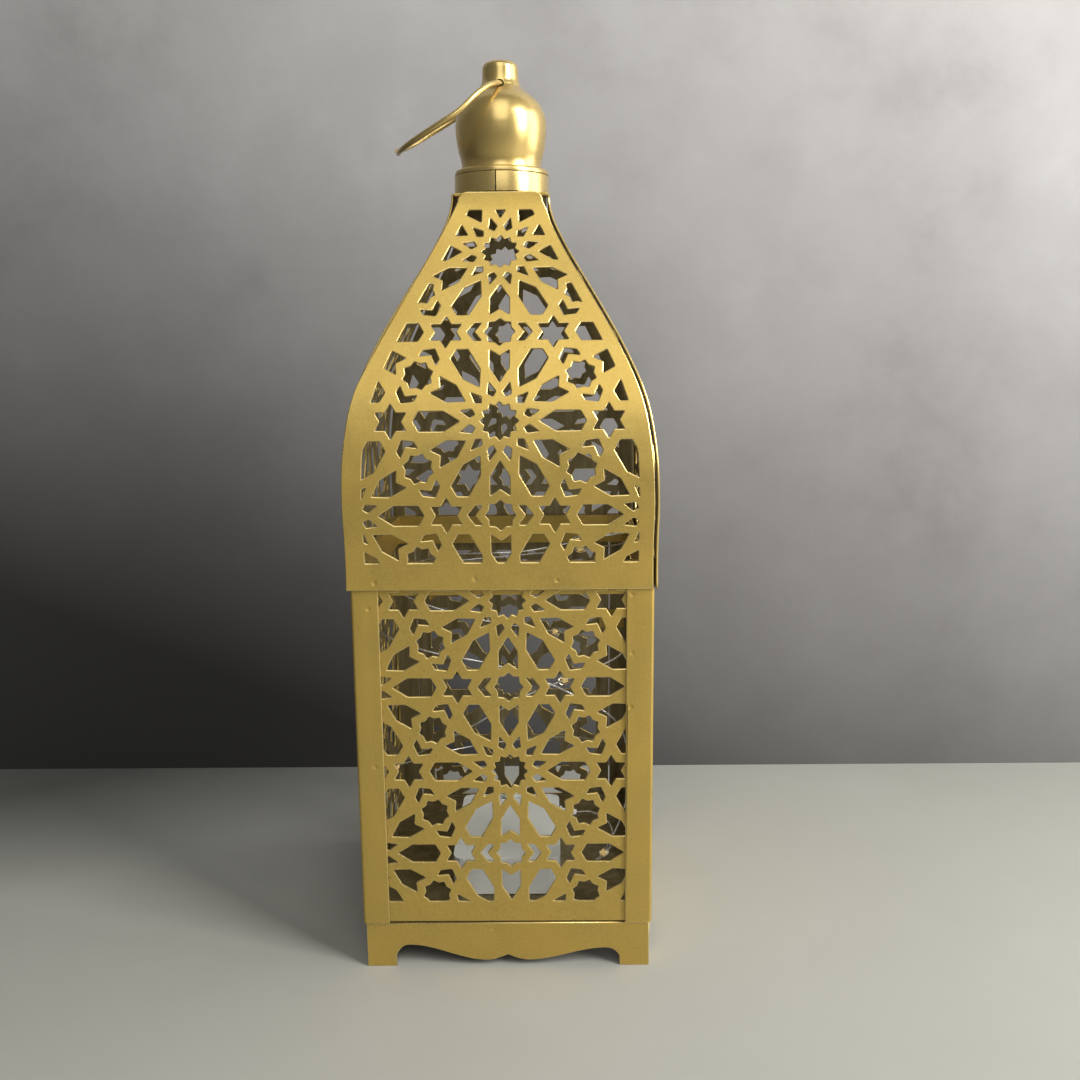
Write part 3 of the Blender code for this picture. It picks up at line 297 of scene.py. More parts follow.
def rounded(ring, radius):
    """The ring with each corner cut back and turned by three points."""
    out = []
    for before, here, after in around([Vector(p) for p in ring]):
        back = before - here
        ahead = after - here
        first = here + back * min(ROUND_SHARE, radius / max(back.length, radius))
        last = here + ahead * min(ROUND_SHARE, radius / max(ahead.length, radius))
        out += [first, 0.25 * first + 0.5 * here + 0.25 * last, last]
    return out


def without_doubles(ring, least=0.00002):
    return [here for before, here, after in around(ring) if (Vector(here) - Vector(before)).length > least]


def mitres(ring):
    """A step outwards at each point of an anticlockwise ring that moves its sides by one."""
    out = []
    for before, here, after in around(ring):
        first = (here - before).normalized()
        second = (after - here).normalized()
        across = Vector((first.y + second.y, -first.x - second.x))
        out.append(across / max(0.45, 1.0 + first.dot(second)))
    return out


def ring_edges(bm, verts):
    return [bm.edges.new(pair) for pair in zip(verts, verts[1:] + verts[:1])]


def pull_ring(bm, edges):
    """Extrudes a ring of edges and returns the new ring's points and edges, and the faces between."""
    made = bmesh.ops.extrude_edge_only(bm, edges=edges)["geom"]
    verts = {g for g in made if isinstance(g, bmesh.types.BMVert)}
    ring = [g for g in made if isinstance(g, bmesh.types.BMEdge) and all(v in verts for v in g.verts)]
    return verts, ring, {face for edge in ring for face in edge.link_faces}


def flat_sheet(outline, holes=(), dents=()):
    """A sheet in the XY plane with its front up: rims rounded in front and eased behind.

    Rings run anticlockwise. A dent is a shallow weld mark, given by its centre and radius.
    The back takes the piece's second material, and the rounded rims in front its third.
    """
    bm = bmesh.new()
    out = bm.verts.layers.float_vector.new("out")
    rims = []
    for side, ring in [(-1, outline)] + [(1, hole) for hole in holes]:
        ring = [Vector(p) for p in ring]
        verts = []
        for point, step in zip(ring, mitres(ring)):
            step = side * step
            vert = bm.verts.new((*(point + step * RIM), 0.0))
            vert[out] = (step.x, step.y, 0.0)
            verts.append(vert)
        rims += ring_edges(bm, verts)
    dent_rims = []
    for (x, y), radius in dents:
        verts = []
        for k in range(16):
            angle = math.pi * k / 8
            step = Vector((math.cos(angle) * radius, math.sin(angle) * radius, 0.0))
            vert = bm.verts.new(Vector((x, y, 0.0)) + step)
            vert[out] = step
            verts.append(vert)
        dent_rims.append(ring_edges(bm, verts))
    edges = rims + [e for ring in dent_rims for e in ring]
    bmesh.ops.triangle_fill(bm, use_beauty=True, use_dissolve=False, edges=edges, normal=(0, 0, 1))
    for edge in rims:
        edge.smooth = False
    edges = rims
    offset, depth = RIM, 0.0
    steps = ((0.29 * RIM, 0.29 * RIM), (0.0, RIM), (0.0, SHEET - 0.5 * RIM), (0.5 * RIM, SHEET))
    for next_offset, next_depth in steps:
        verts, edges, faces = pull_ring(bm, edges)
        for vert in verts:
            vert.co += vert[out] * (next_offset - offset) + Vector((0, 0, depth - next_depth))
        for face in faces:
            face.material_index = 2 if next_depth <= RIM else 0
        offset, depth = next_offset, next_depth
    back = bmesh.ops.triangle_fill(bm, use_beauty=True, use_dissolve=False, edges=edges, normal=(0, 0, -1))
    for face in back["geom"]:
        if isinstance(face, bmesh.types.BMFace):
            face.material_index = 1
    for edge in edges:
        edge.smooth = False
    for ring in dent_rims:
        share, depth = 1.0, 0.0
        for next_share, next_depth in DENT_STEPS:
            verts, ring, faces = pull_ring(bm, ring)
            for vert in verts:
                sink = (next_depth - depth) * DENT_DEPTH
                vert.co += vert[out] * (next_share - share) - Vector((0, 0, sink))
            share, depth = next_share, next_depth
        bmesh.ops.contextual_create(bm, geom=ring)
    bmesh.ops.recalc_face_normals(bm, faces=bm.faces)
    for face in bm.faces:
        face.smooth = True
    return bm


def slice_sheet(bm, places, direction):
    """Cuts a flat sheet across at each place, so that it can be bent there."""
    for place in places:
        geom = bm.verts[:] + bm.edges[:] + bm.faces[:]
        spot = Vector(direction) * place
        bmesh.ops.bisect_plane(bm, geom=geom, dist=1e-7, plane_co=spot, plane_no=direction)


def bend_sheet(bm, place):
    """Moves each point to where place(x, y, depth below the front face) puts it."""
    for vert in bm.verts:
        vert.co = place(vert.co.x, vert.co.y, -vert.co.z)


def stand_sheet(bm, face):
    """Stands a flat sheet up with its front at the given distance from the lantern's axis."""
    bend_sheet(bm, lambda x, y, depth: (x, depth - face, y))


# Pierced pattern

def star(points, outer, inner, phase=0.0):
    ring = []
    for i in range(2 * points):
        radius = inner if i % 2 else outer
        angle = math.radians(phase) + math.pi * i / points
        ring.append((radius * math.cos(angle), radius * math.sin(angle)))
    return ring


def leaf(stations, angle):
    """A hole symmetric about a line from the rosette's centre; stations are (radius, half width)."""
    ring = [(r, -w) for r, w in stations] + [(r, w) for r, w in reversed(stations) if w]
    return turned_ring(ring, angle)


def turned_ring(ring, angle):
    a = math.radians(angle)
    return [(x * math.cos(a) - y * math.sin(a), x * math.sin(a) + y * math.cos(a)) for x, y in ring]


def moved_ring(ring, distance, angle):
    a = math.radians(angle)
    return [(x + distance * math.cos(a), y + distance * math.sin(a)) for x, y in ring]


def rosette_unit():
    """Openings that belong to one rosette, about its centre, each as an anticlockwise ring."""
    rings = [star(*CENTRE_STAR)]
    rings += [leaf(KITE, 15 + 30 * k) for k in range(12)]
    for k in range(6):
        rings.append(leaf(PETAL, 60 * k))
        rings.append(leaf(ARROW, 60 * k + 30))
    for angle in (30, 90, 150):
        rings.append(moved_ring(star(*MIDWAY_STAR, angle), BODY_PITCH / 2, angle))
        for side in (-90, 90):
            rings.append(moved_ring(turned_ring(CHEVRON, angle + side), BODY_PITCH / 2, angle))
    for angle in (0, 60):
        rings.append(moved_ring(star(*CORNER_STAR, 30), BODY_PITCH / math.sqrt(3), angle))
    return rings


def ring_area(ring):
    return 0.5 * sum(ax * by - bx * ay for (ax, ay), (bx, by) in zip(ring, ring[1:] + ring[:1]))


def cut_ring(ring, a, b):
    """The parts of a ring on the left of the line from a to b, each as a ring of its own."""
    along = (Vector(b) - Vector(a)).normalized()
    side = [along.x * (y - a[1]) - along.y * (x - a[0]) for x, y in ring]
    if min(side) >= 0:
        return [ring]
    if max(side) <= 0:
        return []
    start = next(i for i in range(len(ring)) if side[i] <= 0 < side[(i + 1) % len(ring)])
    order = [(start + i) % len(ring) for i in range(len(ring) + 1)]
    chains = []
    for i, j in zip(order, order[1:]):
        if (side[i] > 0) != (side[j] > 0):
            t = side[i] / (side[i] - side[j])
            cross = (ring[i][0] + t * (ring[j][0] - ring[i][0]), ring[i][1] + t * (ring[j][1] - ring[i][1]))
            if side[j] > 0:
                chains.append([cross, ring[j]])
            else:
                chains[-1].append(cross)
        elif side[j] > 0:
            chains[-1].append(ring[j])
    place = [along.dot(Vector(p) - Vector(a)) for chain in chains for p in (chain[0], chain[-1])]
    ends = sorted(range(len(place)), key=lambda k: place[k])
    partner = {}
    for p, q in zip(ends[::2], ends[1::2]):
        partner[p] = q
        partner[q] = p
    rings = []
    left = set(range(len(chains)))
    while left:
        first = left.pop()
        out = list(chains[first])
        at = partner[2 * first + 1] // 2
        while at != first:
            left.discard(at)
            out += chains[at]
            at = partner[2 * at + 1] // 2
        rings.append(out)
    return rings


def pierced(window, centre, pitch):
    """All openings of the rosette pattern inside a convex window, clipped to it and rounded."""
    scale = pitch / BODY_PITCH
    unit = rosette_unit()
    reach_x = max(abs(x) for x, y in window)
    low = min(y for x, y in window)
    high = max(y for x, y in window)
    column = pitch * math.sqrt(3) / 2
    columns = int(reach_x / column) + 2
    holes = []
    for i in range(-columns, columns + 1):
        x0 = centre[0] + i * column
        lift = centre[1] + (i % 2) * pitch / 2
        for j in range(int((low - lift) / pitch) - 2, int((high - lift) / pitch) + 3):
            y0 = lift + j * pitch
            for ring in unit:
                parts = [[(x0 + scale * x, y0 + scale * y) for x, y in ring]]
                for a, b in zip(window, window[1:] + window[:1]):
                    parts = [part for whole in parts for part in cut_ring(whole, a, b)]
                for part in parts:
                    part = without_doubles(part)
                    if len(part) > 2 and ring_area(part) > SMALLEST_HOLE ** 2:
                        holes.append(rounded(part, CORNER))
    return holes


def rectangle(half, low, high):
    return [(-half, low), (half, low), (half, high), (-half, high)]


# Body

def make_body_panels(gold):
    half = PANEL_BOX[1].x
    low, high = PANEL_BOX[0].z, PANEL_BOX[1].z
    outline = rounded(rectangle(half, low, high), CORNER)
    window = rectangle(POST_INNER + PANEL_LAP, low + PANEL_BAND, EAVES_Z + PANEL_LAP)
    holes = pierced(window, (ROSETTE_X, POST_FOOT_Z + ROSETTE_RISE), BODY_PITCH)
    for name, turn in (("front", 0), ("right", 90), ("left", -90)):
        bm = flat_sheet(outline, holes)
        stand_sheet(bm, PANEL_FACE)
        new_piece("pierced_panel_" + name, bm, gold, ["body_panel_" + name], turn=turn)


def make_door_panel(gold):
    half = DOOR_BOX[1].x
    low, high = DOOR_BOX[0].z, DOOR_BOX[1].z
    outline = rounded(rectangle(half, low, high), 2 * CORNER)
    window = rectangle(half - DOOR_BORDER, low + DOOR_FOOT_BAND, high - DOOR_BORDER)
    holes = pierced(window, (ROSETTE_X, POST_FOOT_Z + ROSETTE_RISE), BODY_PITCH)
    bm = flat_sheet(outline, holes)
    stand_sheet(bm, BODY_HALF)
    new_piece("pierced_door", bm, gold, ["door_panel"], "door", turn=180)


def make_posts(gold):
    """Each post is a flat strip bent round its corner; its front flange is drawn to the left."""
    flat = BODY_HALF - POST_CORNER - POST_INNER
    arc = POST_CORNER * math.pi / 2
    width = 2 * flat + arc
    dents = {
        "front_right": ((0.0018, 0.1333), (0.0019, 0.1134), (0.0015, 0.0947)),
        "front_left": ((width - 0.0034, 0.1290), (width - 0.0030, 0.0740)),
        "back_right": ((0.0030, 0.1265), (0.0034, 0.0480)),
        "back_left": ((0.0031, 0.1210), (0.0028, 0.0520)),
    }

    def place(x, z, depth):
        if x < flat:
            return (POST_INNER + x, depth - BODY_HALF, z)
        if x > flat + arc:
            return (BODY_HALF - depth, -BODY_HALF + POST_CORNER + (x - flat - arc), z)
        a = (x - flat) / POST_CORNER - math.pi / 2
        r = POST_CORNER - depth
        return (BODY_HALF - POST_CORNER + r * math.cos(a), POST_CORNER - BODY_HALF + r * math.sin(a), z)

    for name, turn in (("front_right", 0), ("back_right", 90), ("back_left", 180), ("front_left", -90)):
        outline = [(0, POST_FOOT_Z), (width, POST_FOOT_Z), (width, POST_TOP_Z), (0, POST_TOP_Z)]
        outline = rounded(outline, CORNER)
        bm = flat_sheet(outline, dents=[(p, DENT_R) for p in dents[name]])
        slice_sheet(bm, [flat + arc * k / 6 for k in range(7)], (1, 0, 0))
        bend_sheet(bm, place)
        new_piece("bent_post_" + name, bm, gold, ["corner_post_" + name], turn=turn)


# Skirt

def valance_height(x, half):
    """Height of the skirt's cut edge between the feet; half is where a foot begins."""
    arch = ARCH_LEFT if x < 0 else ARCH_RIGHT
    peak = half - ARCH_SHOULDER
    away = abs(x)
    if away > peak:
        share = (away - peak) / (half - peak)
        return arch * math.sqrt(max(0.0, 1.0 - 0.75 * share ** 2))
    if away > LOBE_X:
        share = (peak - away) / (peak - LOBE_X)
        return LOBE_CLEAR + (arch - LOBE_CLEAR) * (1 + math.cos(math.pi * share)) / 2
    return LOBE_CLEAR + (CUSP_H - LOBE_CLEAR) * (1 - away / LOBE_X) ** 1.6


def make_skirts(gold):
    face = -SKIRT_BOX[0].y
    top = SKIRT_BOX[1].z
    foot = face - FOOT_W
    inner = face - SHEET
    for name, turn in (("front", 0), ("right", 90), ("back", 180), ("left", -90)):
        between = name in ("right", "left")
        half = inner - FIT if between else face
        stations = [foot - VALANCE_STEP * k for k in range(int(foot / VALANCE_STEP) * 2 + 1)]
        edge = [(-x, valance_height(-x, foot)) for x in stations]
        outline = [(-half, 0.0), (-foot, 0.0), *edge, (foot, 0.0), (half, 0.0), (half, top), (-half, top)]
        bm = flat_sheet(outline, dents=[(SKIRT_SPOT, SKIRT_SPOT_R)])
        stand_sheet(bm, face)
        reach = inner - SKIRT_FLANGE - FIT if between else inner - FIT
        flange = bmesh.ops.create_cube(bm, size=1.0)["verts"]
        size = Vector((2 * reach, SKIRT_FLANGE, SHEET))
        bmesh.ops.scale(bm, vec=size, verts=flange)
        bmesh.ops.translate(bm, vec=(0, SKIRT_FLANGE / 2 - inner - SHEET / 4, top - SHEET / 2), verts=flange)
        new_piece("cut_skirt_" + name, bm, gold, ["skirt_" + name], turn=turn)


# Roof

def roof_curve():
    """Up the roof's outer face: the length along it, the height, and the distance from the axis."""
    spread = EAVES_FACE - ROOF_TOP_FACE
    height = ROOF_BOX[1].z - EAVES_Z
    knots = [(EAVES_Z + height * share, ROOF_TOP_FACE + spread * way) for share, way in ROOF_SHAPE]
    curve = smooth_curve(knots, 8)
    return lengths_along(curve), curve[:, 0], curve[:, 1]


def roof_outline(curve, left_seam, right_seam, border=0.0, top_border=0.0, foot=0.0, corner=ROOF_CORNER,
                 steps=40):
    """A roof panel's outline as a flat sheet, or the outline of its pierced part inside it."""
    along, heights, faces = curve
    top = along[-1] - top_border

    def half_width(v, seam):
        tapered = ROOF_TOP_HALF + ROOF_TAPER * (along[-1] - v)
        return float(min(np.interp(v, along, faces) - seam, tapered)) - border

    def edge(seam):
        points = []
        for k in range(steps):
            v = foot + (top - corner - foot) * k / steps
            points.append((half_width(v, seam), float(v)))
        half = half_width(top - corner, seam)
        for k in range(7):
            a = math.radians(15 * k)
            points.append((half - corner + corner * math.cos(a), float(top) - corner + corner * math.sin(a)))
        return points

    return edge(right_seam) + [(-x, v) for x, v in reversed(edge(left_seam))]


def convex_hull(points):
    pts = sorted(points)

    def half(seq):
        out = []
        for p in seq:
            while len(out) > 1:
                (ax, ay), (bx, by) = out[-2:]
                if (bx - ax) * (p[1] - ay) - (by - ay) * (p[0] - ax) > 0:
                    break
                out.pop()
            out.append(p)
        return out[:-1]

    return half(pts) + half(reversed(pts))


def make_roof(gold):
    curve = roof_curve()
    along, heights, faces = curve
    run = np.gradient(faces, along)
    rise = np.gradient(heights, along)
    between = SHEET + ROOF_SEAM
    plain = (between, between, ROOF_BORDER, ROOF_TOP_BORDER, EAVES_BAND, ROOF_CORNER / 3, 14)
    window = convex_hull(roof_outline(curve, *plain))
    holes = pierced(window, (0.0, ROOF_ROSETTE_RISE), ROOF_PITCH)
    dents = {
        "front": ((-0.0417, 0.0026), (-0.0088, 0.0038), (0.0180, 0.0032)),
        "right": ((-0.0300, 0.0048), (0.0050, 0.0044), (0.0350, 0.0050)),
        "back": ((-0.0360, 0.0050), (0.0020, 0.0046), (0.0330, 0.0052)),
        "left": ((-0.0330, 0.0045), (0.0080, 0.0051), (0.0390, 0.0047)),
    }

    def place(x, v, depth):
        face = np.interp(v, along, faces)
        height = np.interp(v, along, heights)
        out = np.interp(v, along, rise)
        up = -np.interp(v, along, run)
        return (x, depth * out - face, height - depth * up)

    outline = roof_outline(curve, 0.0, between)
    for name, turn in (("front", 0), ("right", 90), ("back", 180), ("left", -90)):
        bm = flat_sheet(outline, holes, [(p, DENT_R) for p in dents[name]])
        slice_sheet(bm, np.arange(ROOF_SLICE, along[-1], ROOF_SLICE), (0, 1, 0))
        bend_sheet(bm, place)
        new_piece("pierced_roof_" + name, bm, gold, ["roof_panel_" + name], turn=turn)


# Finial, collar and ring

def profile_mesh(profile, steps):
    """Turns a profile of (radius, height) points about Z."""
    bm = bmesh.new()
    verts = [bm.verts.new((r, 0.0, z)) for r, z in profile]
    edges = [bm.edges.new(pair) for pair in zip(verts, verts[1:])]
    bmesh.ops.spin(bm, geom=verts + edges, cent=(0, 0, 0), axis=(0, 0, 1), angle=2 * math.pi, steps=steps,
                   use_merge=True)
    bmesh.ops.remove_doubles(bm, verts=bm.verts, dist=0.00001)
    bmesh.ops.recalc_face_normals(bm, faces=bm.faces)
    return bm


def smooth_by_angle(obj, degrees):
    obj.data.shade_smooth()
    obj.data.set_sharp_from_angle(angle=math.radians(degrees))


def finial_profile():
    """Outer profile from the top down, as (radius, height above the finial's foot)."""
    h = FINIAL_BOX[1].z - FINIAL_BOX[0].z
    knots = [
        (0.0, h), (0.45 * KNOB_R, 0.9975 * h), (0.76 * KNOB_R, 0.988 * h), (0.93 * KNOB_R, 0.966 * h),
        (0.99 * KNOB_R, 0.938 * h), (KNOB_R, 0.905 * h), (1.01 * KNOB_R, 0.86 * h),
        (1.035 * KNOB_R, 0.822 * h), (0.95 * NECK_R, 0.79 * h), (NECK_R, 0.768 * h),
        (1.17 * NECK_R, 0.739 * h),
        (0.652 * BULB_R, 0.704 * h), (0.753 * BULB_R, 0.669 * h), (0.842 * BULB_R, 0.630 * h),
        (0.911 * BULB_R, 0.582 * h), (0.975 * BULB_R, 0.516 * h), (BULB_R, 0.45 * h),
        (0.999 * BULB_R, 0.386 * h), (0.987 * BULB_R, 0.32 * h),
        (0.962 * BULB_R, 0.249 * h), (0.930 * BULB_R, 0.188 * h), (1.02 * WAIST_R, 0.138 * h),
        (WAIST_R, 0.100 * h), (WAIST_R, 0.070 * h), (1.01 * WAIST_R, 0.050 * h),
    ]
    curve = [(float(r), float(z)) for r, z in smooth_curve(knots, 4)]
    foot = COLLAR_R - 0.4 * FIT
    lip = [(0.962 * foot, 0.042 * h), (0.985 * foot, 0.034 * h), (0.997 * foot, 0.024 * h), (foot, 0.012 * h)]
    return curve + lip + [(foot, -0.5 * FIT)], h


def apply_modifiers(obj):
    """Leaves the object with the mesh that its modifiers give."""
    bpy.context.view_layer.update()
    depsgraph = bpy.context.evaluated_depsgraph_get()
    mesh = bpy.data.meshes.new_from_object(obj.evaluated_get(depsgraph))
    obj.modifiers.clear()
    obj.data = mesh


def make_finial(gold):
    outer, h = finial_profile()
    foot_z = FINIAL_BOX[0].z
    inner = []
    for before, (r, z), after in list(zip(outer, outer[1:-6], outer[2:]))[3::3]:
        run = math.hypot(after[0] - before[0], after[1] - before[1])
        across = ((before[1] - after[1]) / run, (after[0] - before[0]) / run)
        inner.append((max(r - FINIAL_WALL * across[0], 0.0), z - FINIAL_WALL * across[1]))
    foot = COLLAR_R - FIT - FINIAL_WALL
    inner = [(0.0, h - FINIAL_WALL)] + inner + [(foot, 0.02 * h), (foot, -0.5 * FIT)]
    profile = [(r, foot_z + z) for r, z in outer] + [(r, foot_z + z) for r, z in reversed(inner)]
    bm = profile_mesh(profile, 72)
    obj = new_piece("spun_finial", bm, gold, ["finial_shell"])
    drill_bm = bmesh.new()
    bmesh.ops.create_cone(drill_bm, cap_ends=True, segments=32, radius1=RING_HOLE_R, radius2=RING_HOLE_R,
                          depth=4 * NECK_R, matrix=Matrix.Translation((0, 0, foot_z + RING_HOLE_RISE))
                          @ Matrix.Rotation(math.pi / 2, 4, "X"))
    drill_mesh = bpy.data.meshes.new("drill")
    drill_bm.to_mesh(drill_mesh)
    drill_bm.free()
    drill = bpy.data.objects.new("drill", drill_mesh)
    bpy.context.scene.collection.objects.link(drill)
    cut = obj.modifiers.new("ring_hole", "BOOLEAN")
    cut.operation = "DIFFERENCE"
    cut.object = drill
    cut.solver = "EXACT"
    apply_modifiers(obj)
    bpy.data.objects.remove(drill, do_unlink=True)
    smooth_by_angle(obj, 40)


def make_collar(gold):
    """A strip rolled round, with its butt seam left open by a hair just left of the front."""
    low, high = COLLAR_BOX[0].z, COLLAR_BOX[1].z
    r = COLLAR_R
    soft = COLLAR_EASE
    section = [(r - SHEET, low), (r - 0.0001, low), (r, low + 0.0001), (r, high - soft)]
    for k in range(1, 5):
        a = math.radians(22.5 * k)
        section.append((r - soft + soft * math.cos(a), high - soft + soft * math.sin(a)))
    section += [(r - SHEET, high - 0.0001)]
    bm = bmesh.new()
    verts = [bm.verts.new((x, 0.0, z)) for x, z in section]
    edges = ring_edges(bm, verts)
    face = bm.faces.new(verts)
    gap = COLLAR_SEAM / r
    turn = Matrix.Rotation(math.radians(COLLAR_SEAM_ANGLE) + gap / 2, 4, "Z")
    bmesh.ops.transform(bm, matrix=turn, verts=bm.verts)
    bmesh.ops.spin(bm, geom=verts + edges + [face], cent=(0, 0, 0), axis=(0, 0, 1),
                   angle=2 * math.pi - gap, steps=80)
    bmesh.ops.recalc_face_normals(bm, faces=bm.faces)
    obj = new_piece("rolled_collar", bm, gold, ["collar_band"])
    smooth_by_angle(obj, 40)


def make_ring(gold):
    """A hand-bent wire ring: its ends meet at the far side, and outside the neck it is out of true."""
    hole_z = FINIAL_BOX[0].z + RING_HOLE_RISE
    drop = math.radians(RING_DROP)
    reach = math.sqrt(RING_R ** 2 - NECK_R ** 2)
    bm = bmesh.new()
    bmesh.ops.create_circle(bm, cap_ends=True, segments=14, radius=RING_WIRE_R,
                            matrix=Matrix.Translation((-RING_R, 0, 0)) @ Matrix.Rotation(math.pi / 2, 4, "X"))
    gap = RING_GAP / RING_R
    spare = Matrix.Rotation(gap / 2, 4, "Z")
    bmesh.ops.transform(bm, matrix=spare, verts=bm.verts)
    bmesh.ops.spin(bm, geom=bm.verts[:] + bm.edges[:] + bm.faces[:], cent=(0, 0, 0), axis=(0, 0, 1),
                   angle=2 * math.pi - gap, steps=96)
    bmesh.ops.recalc_face_normals(bm, faces=bm.faces)
    lean = math.tan(math.radians(RING_LEAN))
    for vert in bm.verts:
        past = (reach - vert.co.x - RING_LEAN_FROM) / (RING_LEAN_TO - RING_LEAN_FROM)
        free = min(1.0, max(0.0, past))
        vert.co.z += vert.co.y * lean * free * free * (3 - 2 * free)
        vert.co.z += RING_STAGGER * max(0.0, -vert.co.x / RING_R) ** 8 * math.copysign(1.0, vert.co.y)
    swing = Matrix.Translation((-reach * math.cos(drop), 0.0, hole_z - reach * math.sin(drop)))
    bmesh.ops.transform(bm, matrix=swing @ Matrix.Rotation(-drop, 4, "Y"), verts=bm.verts)
    obj = new_piece("wire_ring", bm, gold, ["ring_handle"], "ring")
    smooth_by_angle(obj, 50)


# Light wire

def make_wire(silver, resin, glow):
    line = smooth_curve(WIRE_ROUTE, 12)
    along = lengths_along(line)
    data = bpy.data.curves.new("fairy_wire", "CURVE")
    data.dimensions = "3D"
    data.bevel_depth = WIRE_R
    data.bevel_resolution = 3
    data.use_fill_caps = True
    spline = data.splines.new("POLY")
    points = line[::2]
    spline.points.add(len(points) - 1)
    for point, place in zip(spline.points, points):
        point.co = (*place, 1.0)
    data.materials.append(silver)
    wire = bpy.data.objects.new("fairy_wire", data)
    bpy.context.scene.collection.objects.link(wire)
    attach(wire, "root")
    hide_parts("light_wire")
    for i in range(DROP_COUNT):
        middle = (DROP_FIRST + i * DROP_EVERY + 0.5) * along[-1] / (WIRE_POINTS - 1)
        at = Vector([np.interp(middle, along, line[:, k]) for k in range(3)])
        ahead = Vector([np.interp(middle + 0.001, along, line[:, k]) for k in range(3)])
        name = "led_drop_" + str(i + 1).zfill(2)
        make_drop("resin_" + name, name, at, ahead - at, resin, glow)


def make_drop(name, node, at, direction, resin, glow):
    """A bead of clear resin round a light chip on the wire."""
    half = DROP_L / 2
    profile = []
    for k in range(13):
        a = math.pi * k / 12
        profile.append((max(1e-9, DROP_R * math.sin(a) ** 0.8), half * math.cos(a)))
    bm = profile_mesh(profile, 20)
    for face in bm.faces:
        face.smooth = True
    chip = bmesh.ops.create_cube(bm, size=1.0)["verts"]
    bmesh.ops.scale(bm, vec=CHIP, verts=chip)
    for face in {f for v in chip for f in v.link_faces}:
        face.material_index = 1
    turn = Vector((0, 0, 1)).rotation_difference(direction).to_matrix().to_4x4()
    bmesh.ops.transform(bm, matrix=Matrix.Translation(at) @ turn, verts=bm.verts)
    return new_piece(name, bm, [resin, glow], [node])


# Materials

def link(tree, source, target):
    tree.links.new(source, target)


def add_node(tree, kind, **inputs):
    node = tree.nodes.new(kind)
    for name, value in inputs.items():
        node.inputs[name.replace("_", " ")].default_value = value
    return node


def noise(tree, vector, scale, detail=4.0, roughness=0.6):
    node = add_node(tree, "ShaderNodeTexNoise", Scale=scale, Detail=detail, Roughness=roughness)
    link(tree, vector, node.inputs["Vector"])
    return node.outputs["Fac"]


def spread_range(tree, value, low, high, to_low=0.0, to_high=1.0):
    node = tree.nodes.new("ShaderNodeMapRange")
    for key, number in (("From Min", low), ("From Max", high), ("To Min", to_low), ("To Max", to_high)):
        node.inputs[key].default_value = number
    link(tree, value, node.inputs["Value"])
    return node.outputs["Result"]


def mix_colour(tree, factor, first, second):
    node = tree.nodes.new("ShaderNodeMix")
    node.data_type = "RGBA"
    link(tree, factor, node.inputs[0])
    for index, colour in ((6, first), (7, second)):
        if isinstance(colour, tuple):
            node.inputs[index].default_value = (*colour, 1.0)
        else:
            link(tree, colour, node.inputs[index])
    return node.outputs[2]


def scaled_sum(tree, value, factor, added):
    node = tree.nodes.new("ShaderNodeMath")
    node.operation = "MULTIPLY_ADD"
    link(tree, value, node.inputs[0])
    node.inputs[1].default_value = factor
    link(tree, added, node.inputs[2])
    return node.outputs[0]


def paint_group():
    """Sprayed metal paint: cloudy cover, fine flakes, a few dark pinholes, and the sheet's slight waves."""
    tree = bpy.data.node_groups.new("sprayed_paint", "ShaderNodeTree")
    tree.interface.new_socket(name="Vector", in_out="INPUT", socket_type="NodeSocketVector")
    for name in ("Clouds", "Grain", "Pinholes", "Height"):
        tree.interface.new_socket(name=name, in_out="OUTPUT", socket_type="NodeSocketFloat")
    given = tree.nodes.new("NodeGroupInput").outputs["Vector"]
    result = tree.nodes.new("NodeGroupOutput")
    clouds = spread_range(tree, noise(tree, given, 55.0, 5.0), 0.30, 0.70)
    grain = noise(tree, given, 1500.0, 3.0, 0.7)
    fine = noise(tree, given, 4200.0, 2.0, 0.6)
    dots = add_node(tree, "ShaderNodeTexVoronoi", Scale=210.0)
    link(tree, given, dots.inputs["Vector"])
    pinholes = spread_range(tree, dots.outputs["Distance"], 0.03, 0.08, 1.0, 0.0)
    texture = scaled_sum(tree, grain, 0.7, fine)
    height = scaled_sum(tree, noise(tree, given, 48.0, 2.0, 0.5), 18.0, texture)
    link(tree, clouds, result.inputs["Clouds"])
    link(tree, grain, result.inputs["Grain"])
    link(tree, pinholes, result.inputs["Pinholes"])
    link(tree, height, result.inputs["Height"])
    return tree


def plain_material(name, colour, roughness, metallic=0.0):
    mat = bpy.data.materials.new(name)
    mat.use_nodes = True
    shader = mat.node_tree.nodes["Principled BSDF"]
    shader.inputs["Base Color"].default_value = (*colour, 1.0)
    shader.inputs["Roughness"].default_value = roughness
    shader.inputs["Metallic"].default_value = metallic
    return mat, mat.node_tree, shader


def object_coordinates(tree):
    return tree.nodes.new("ShaderNodeTexCoord").outputs["Object"]


def bump(tree, height, shader, distance, strength):
    node = add_node(tree, "ShaderNodeBump", Distance=distance, Strength=strength)
    link(tree, height, node.inputs["Height"])
    link(tree, node.outputs["Normal"], shader.inputs["Normal"])


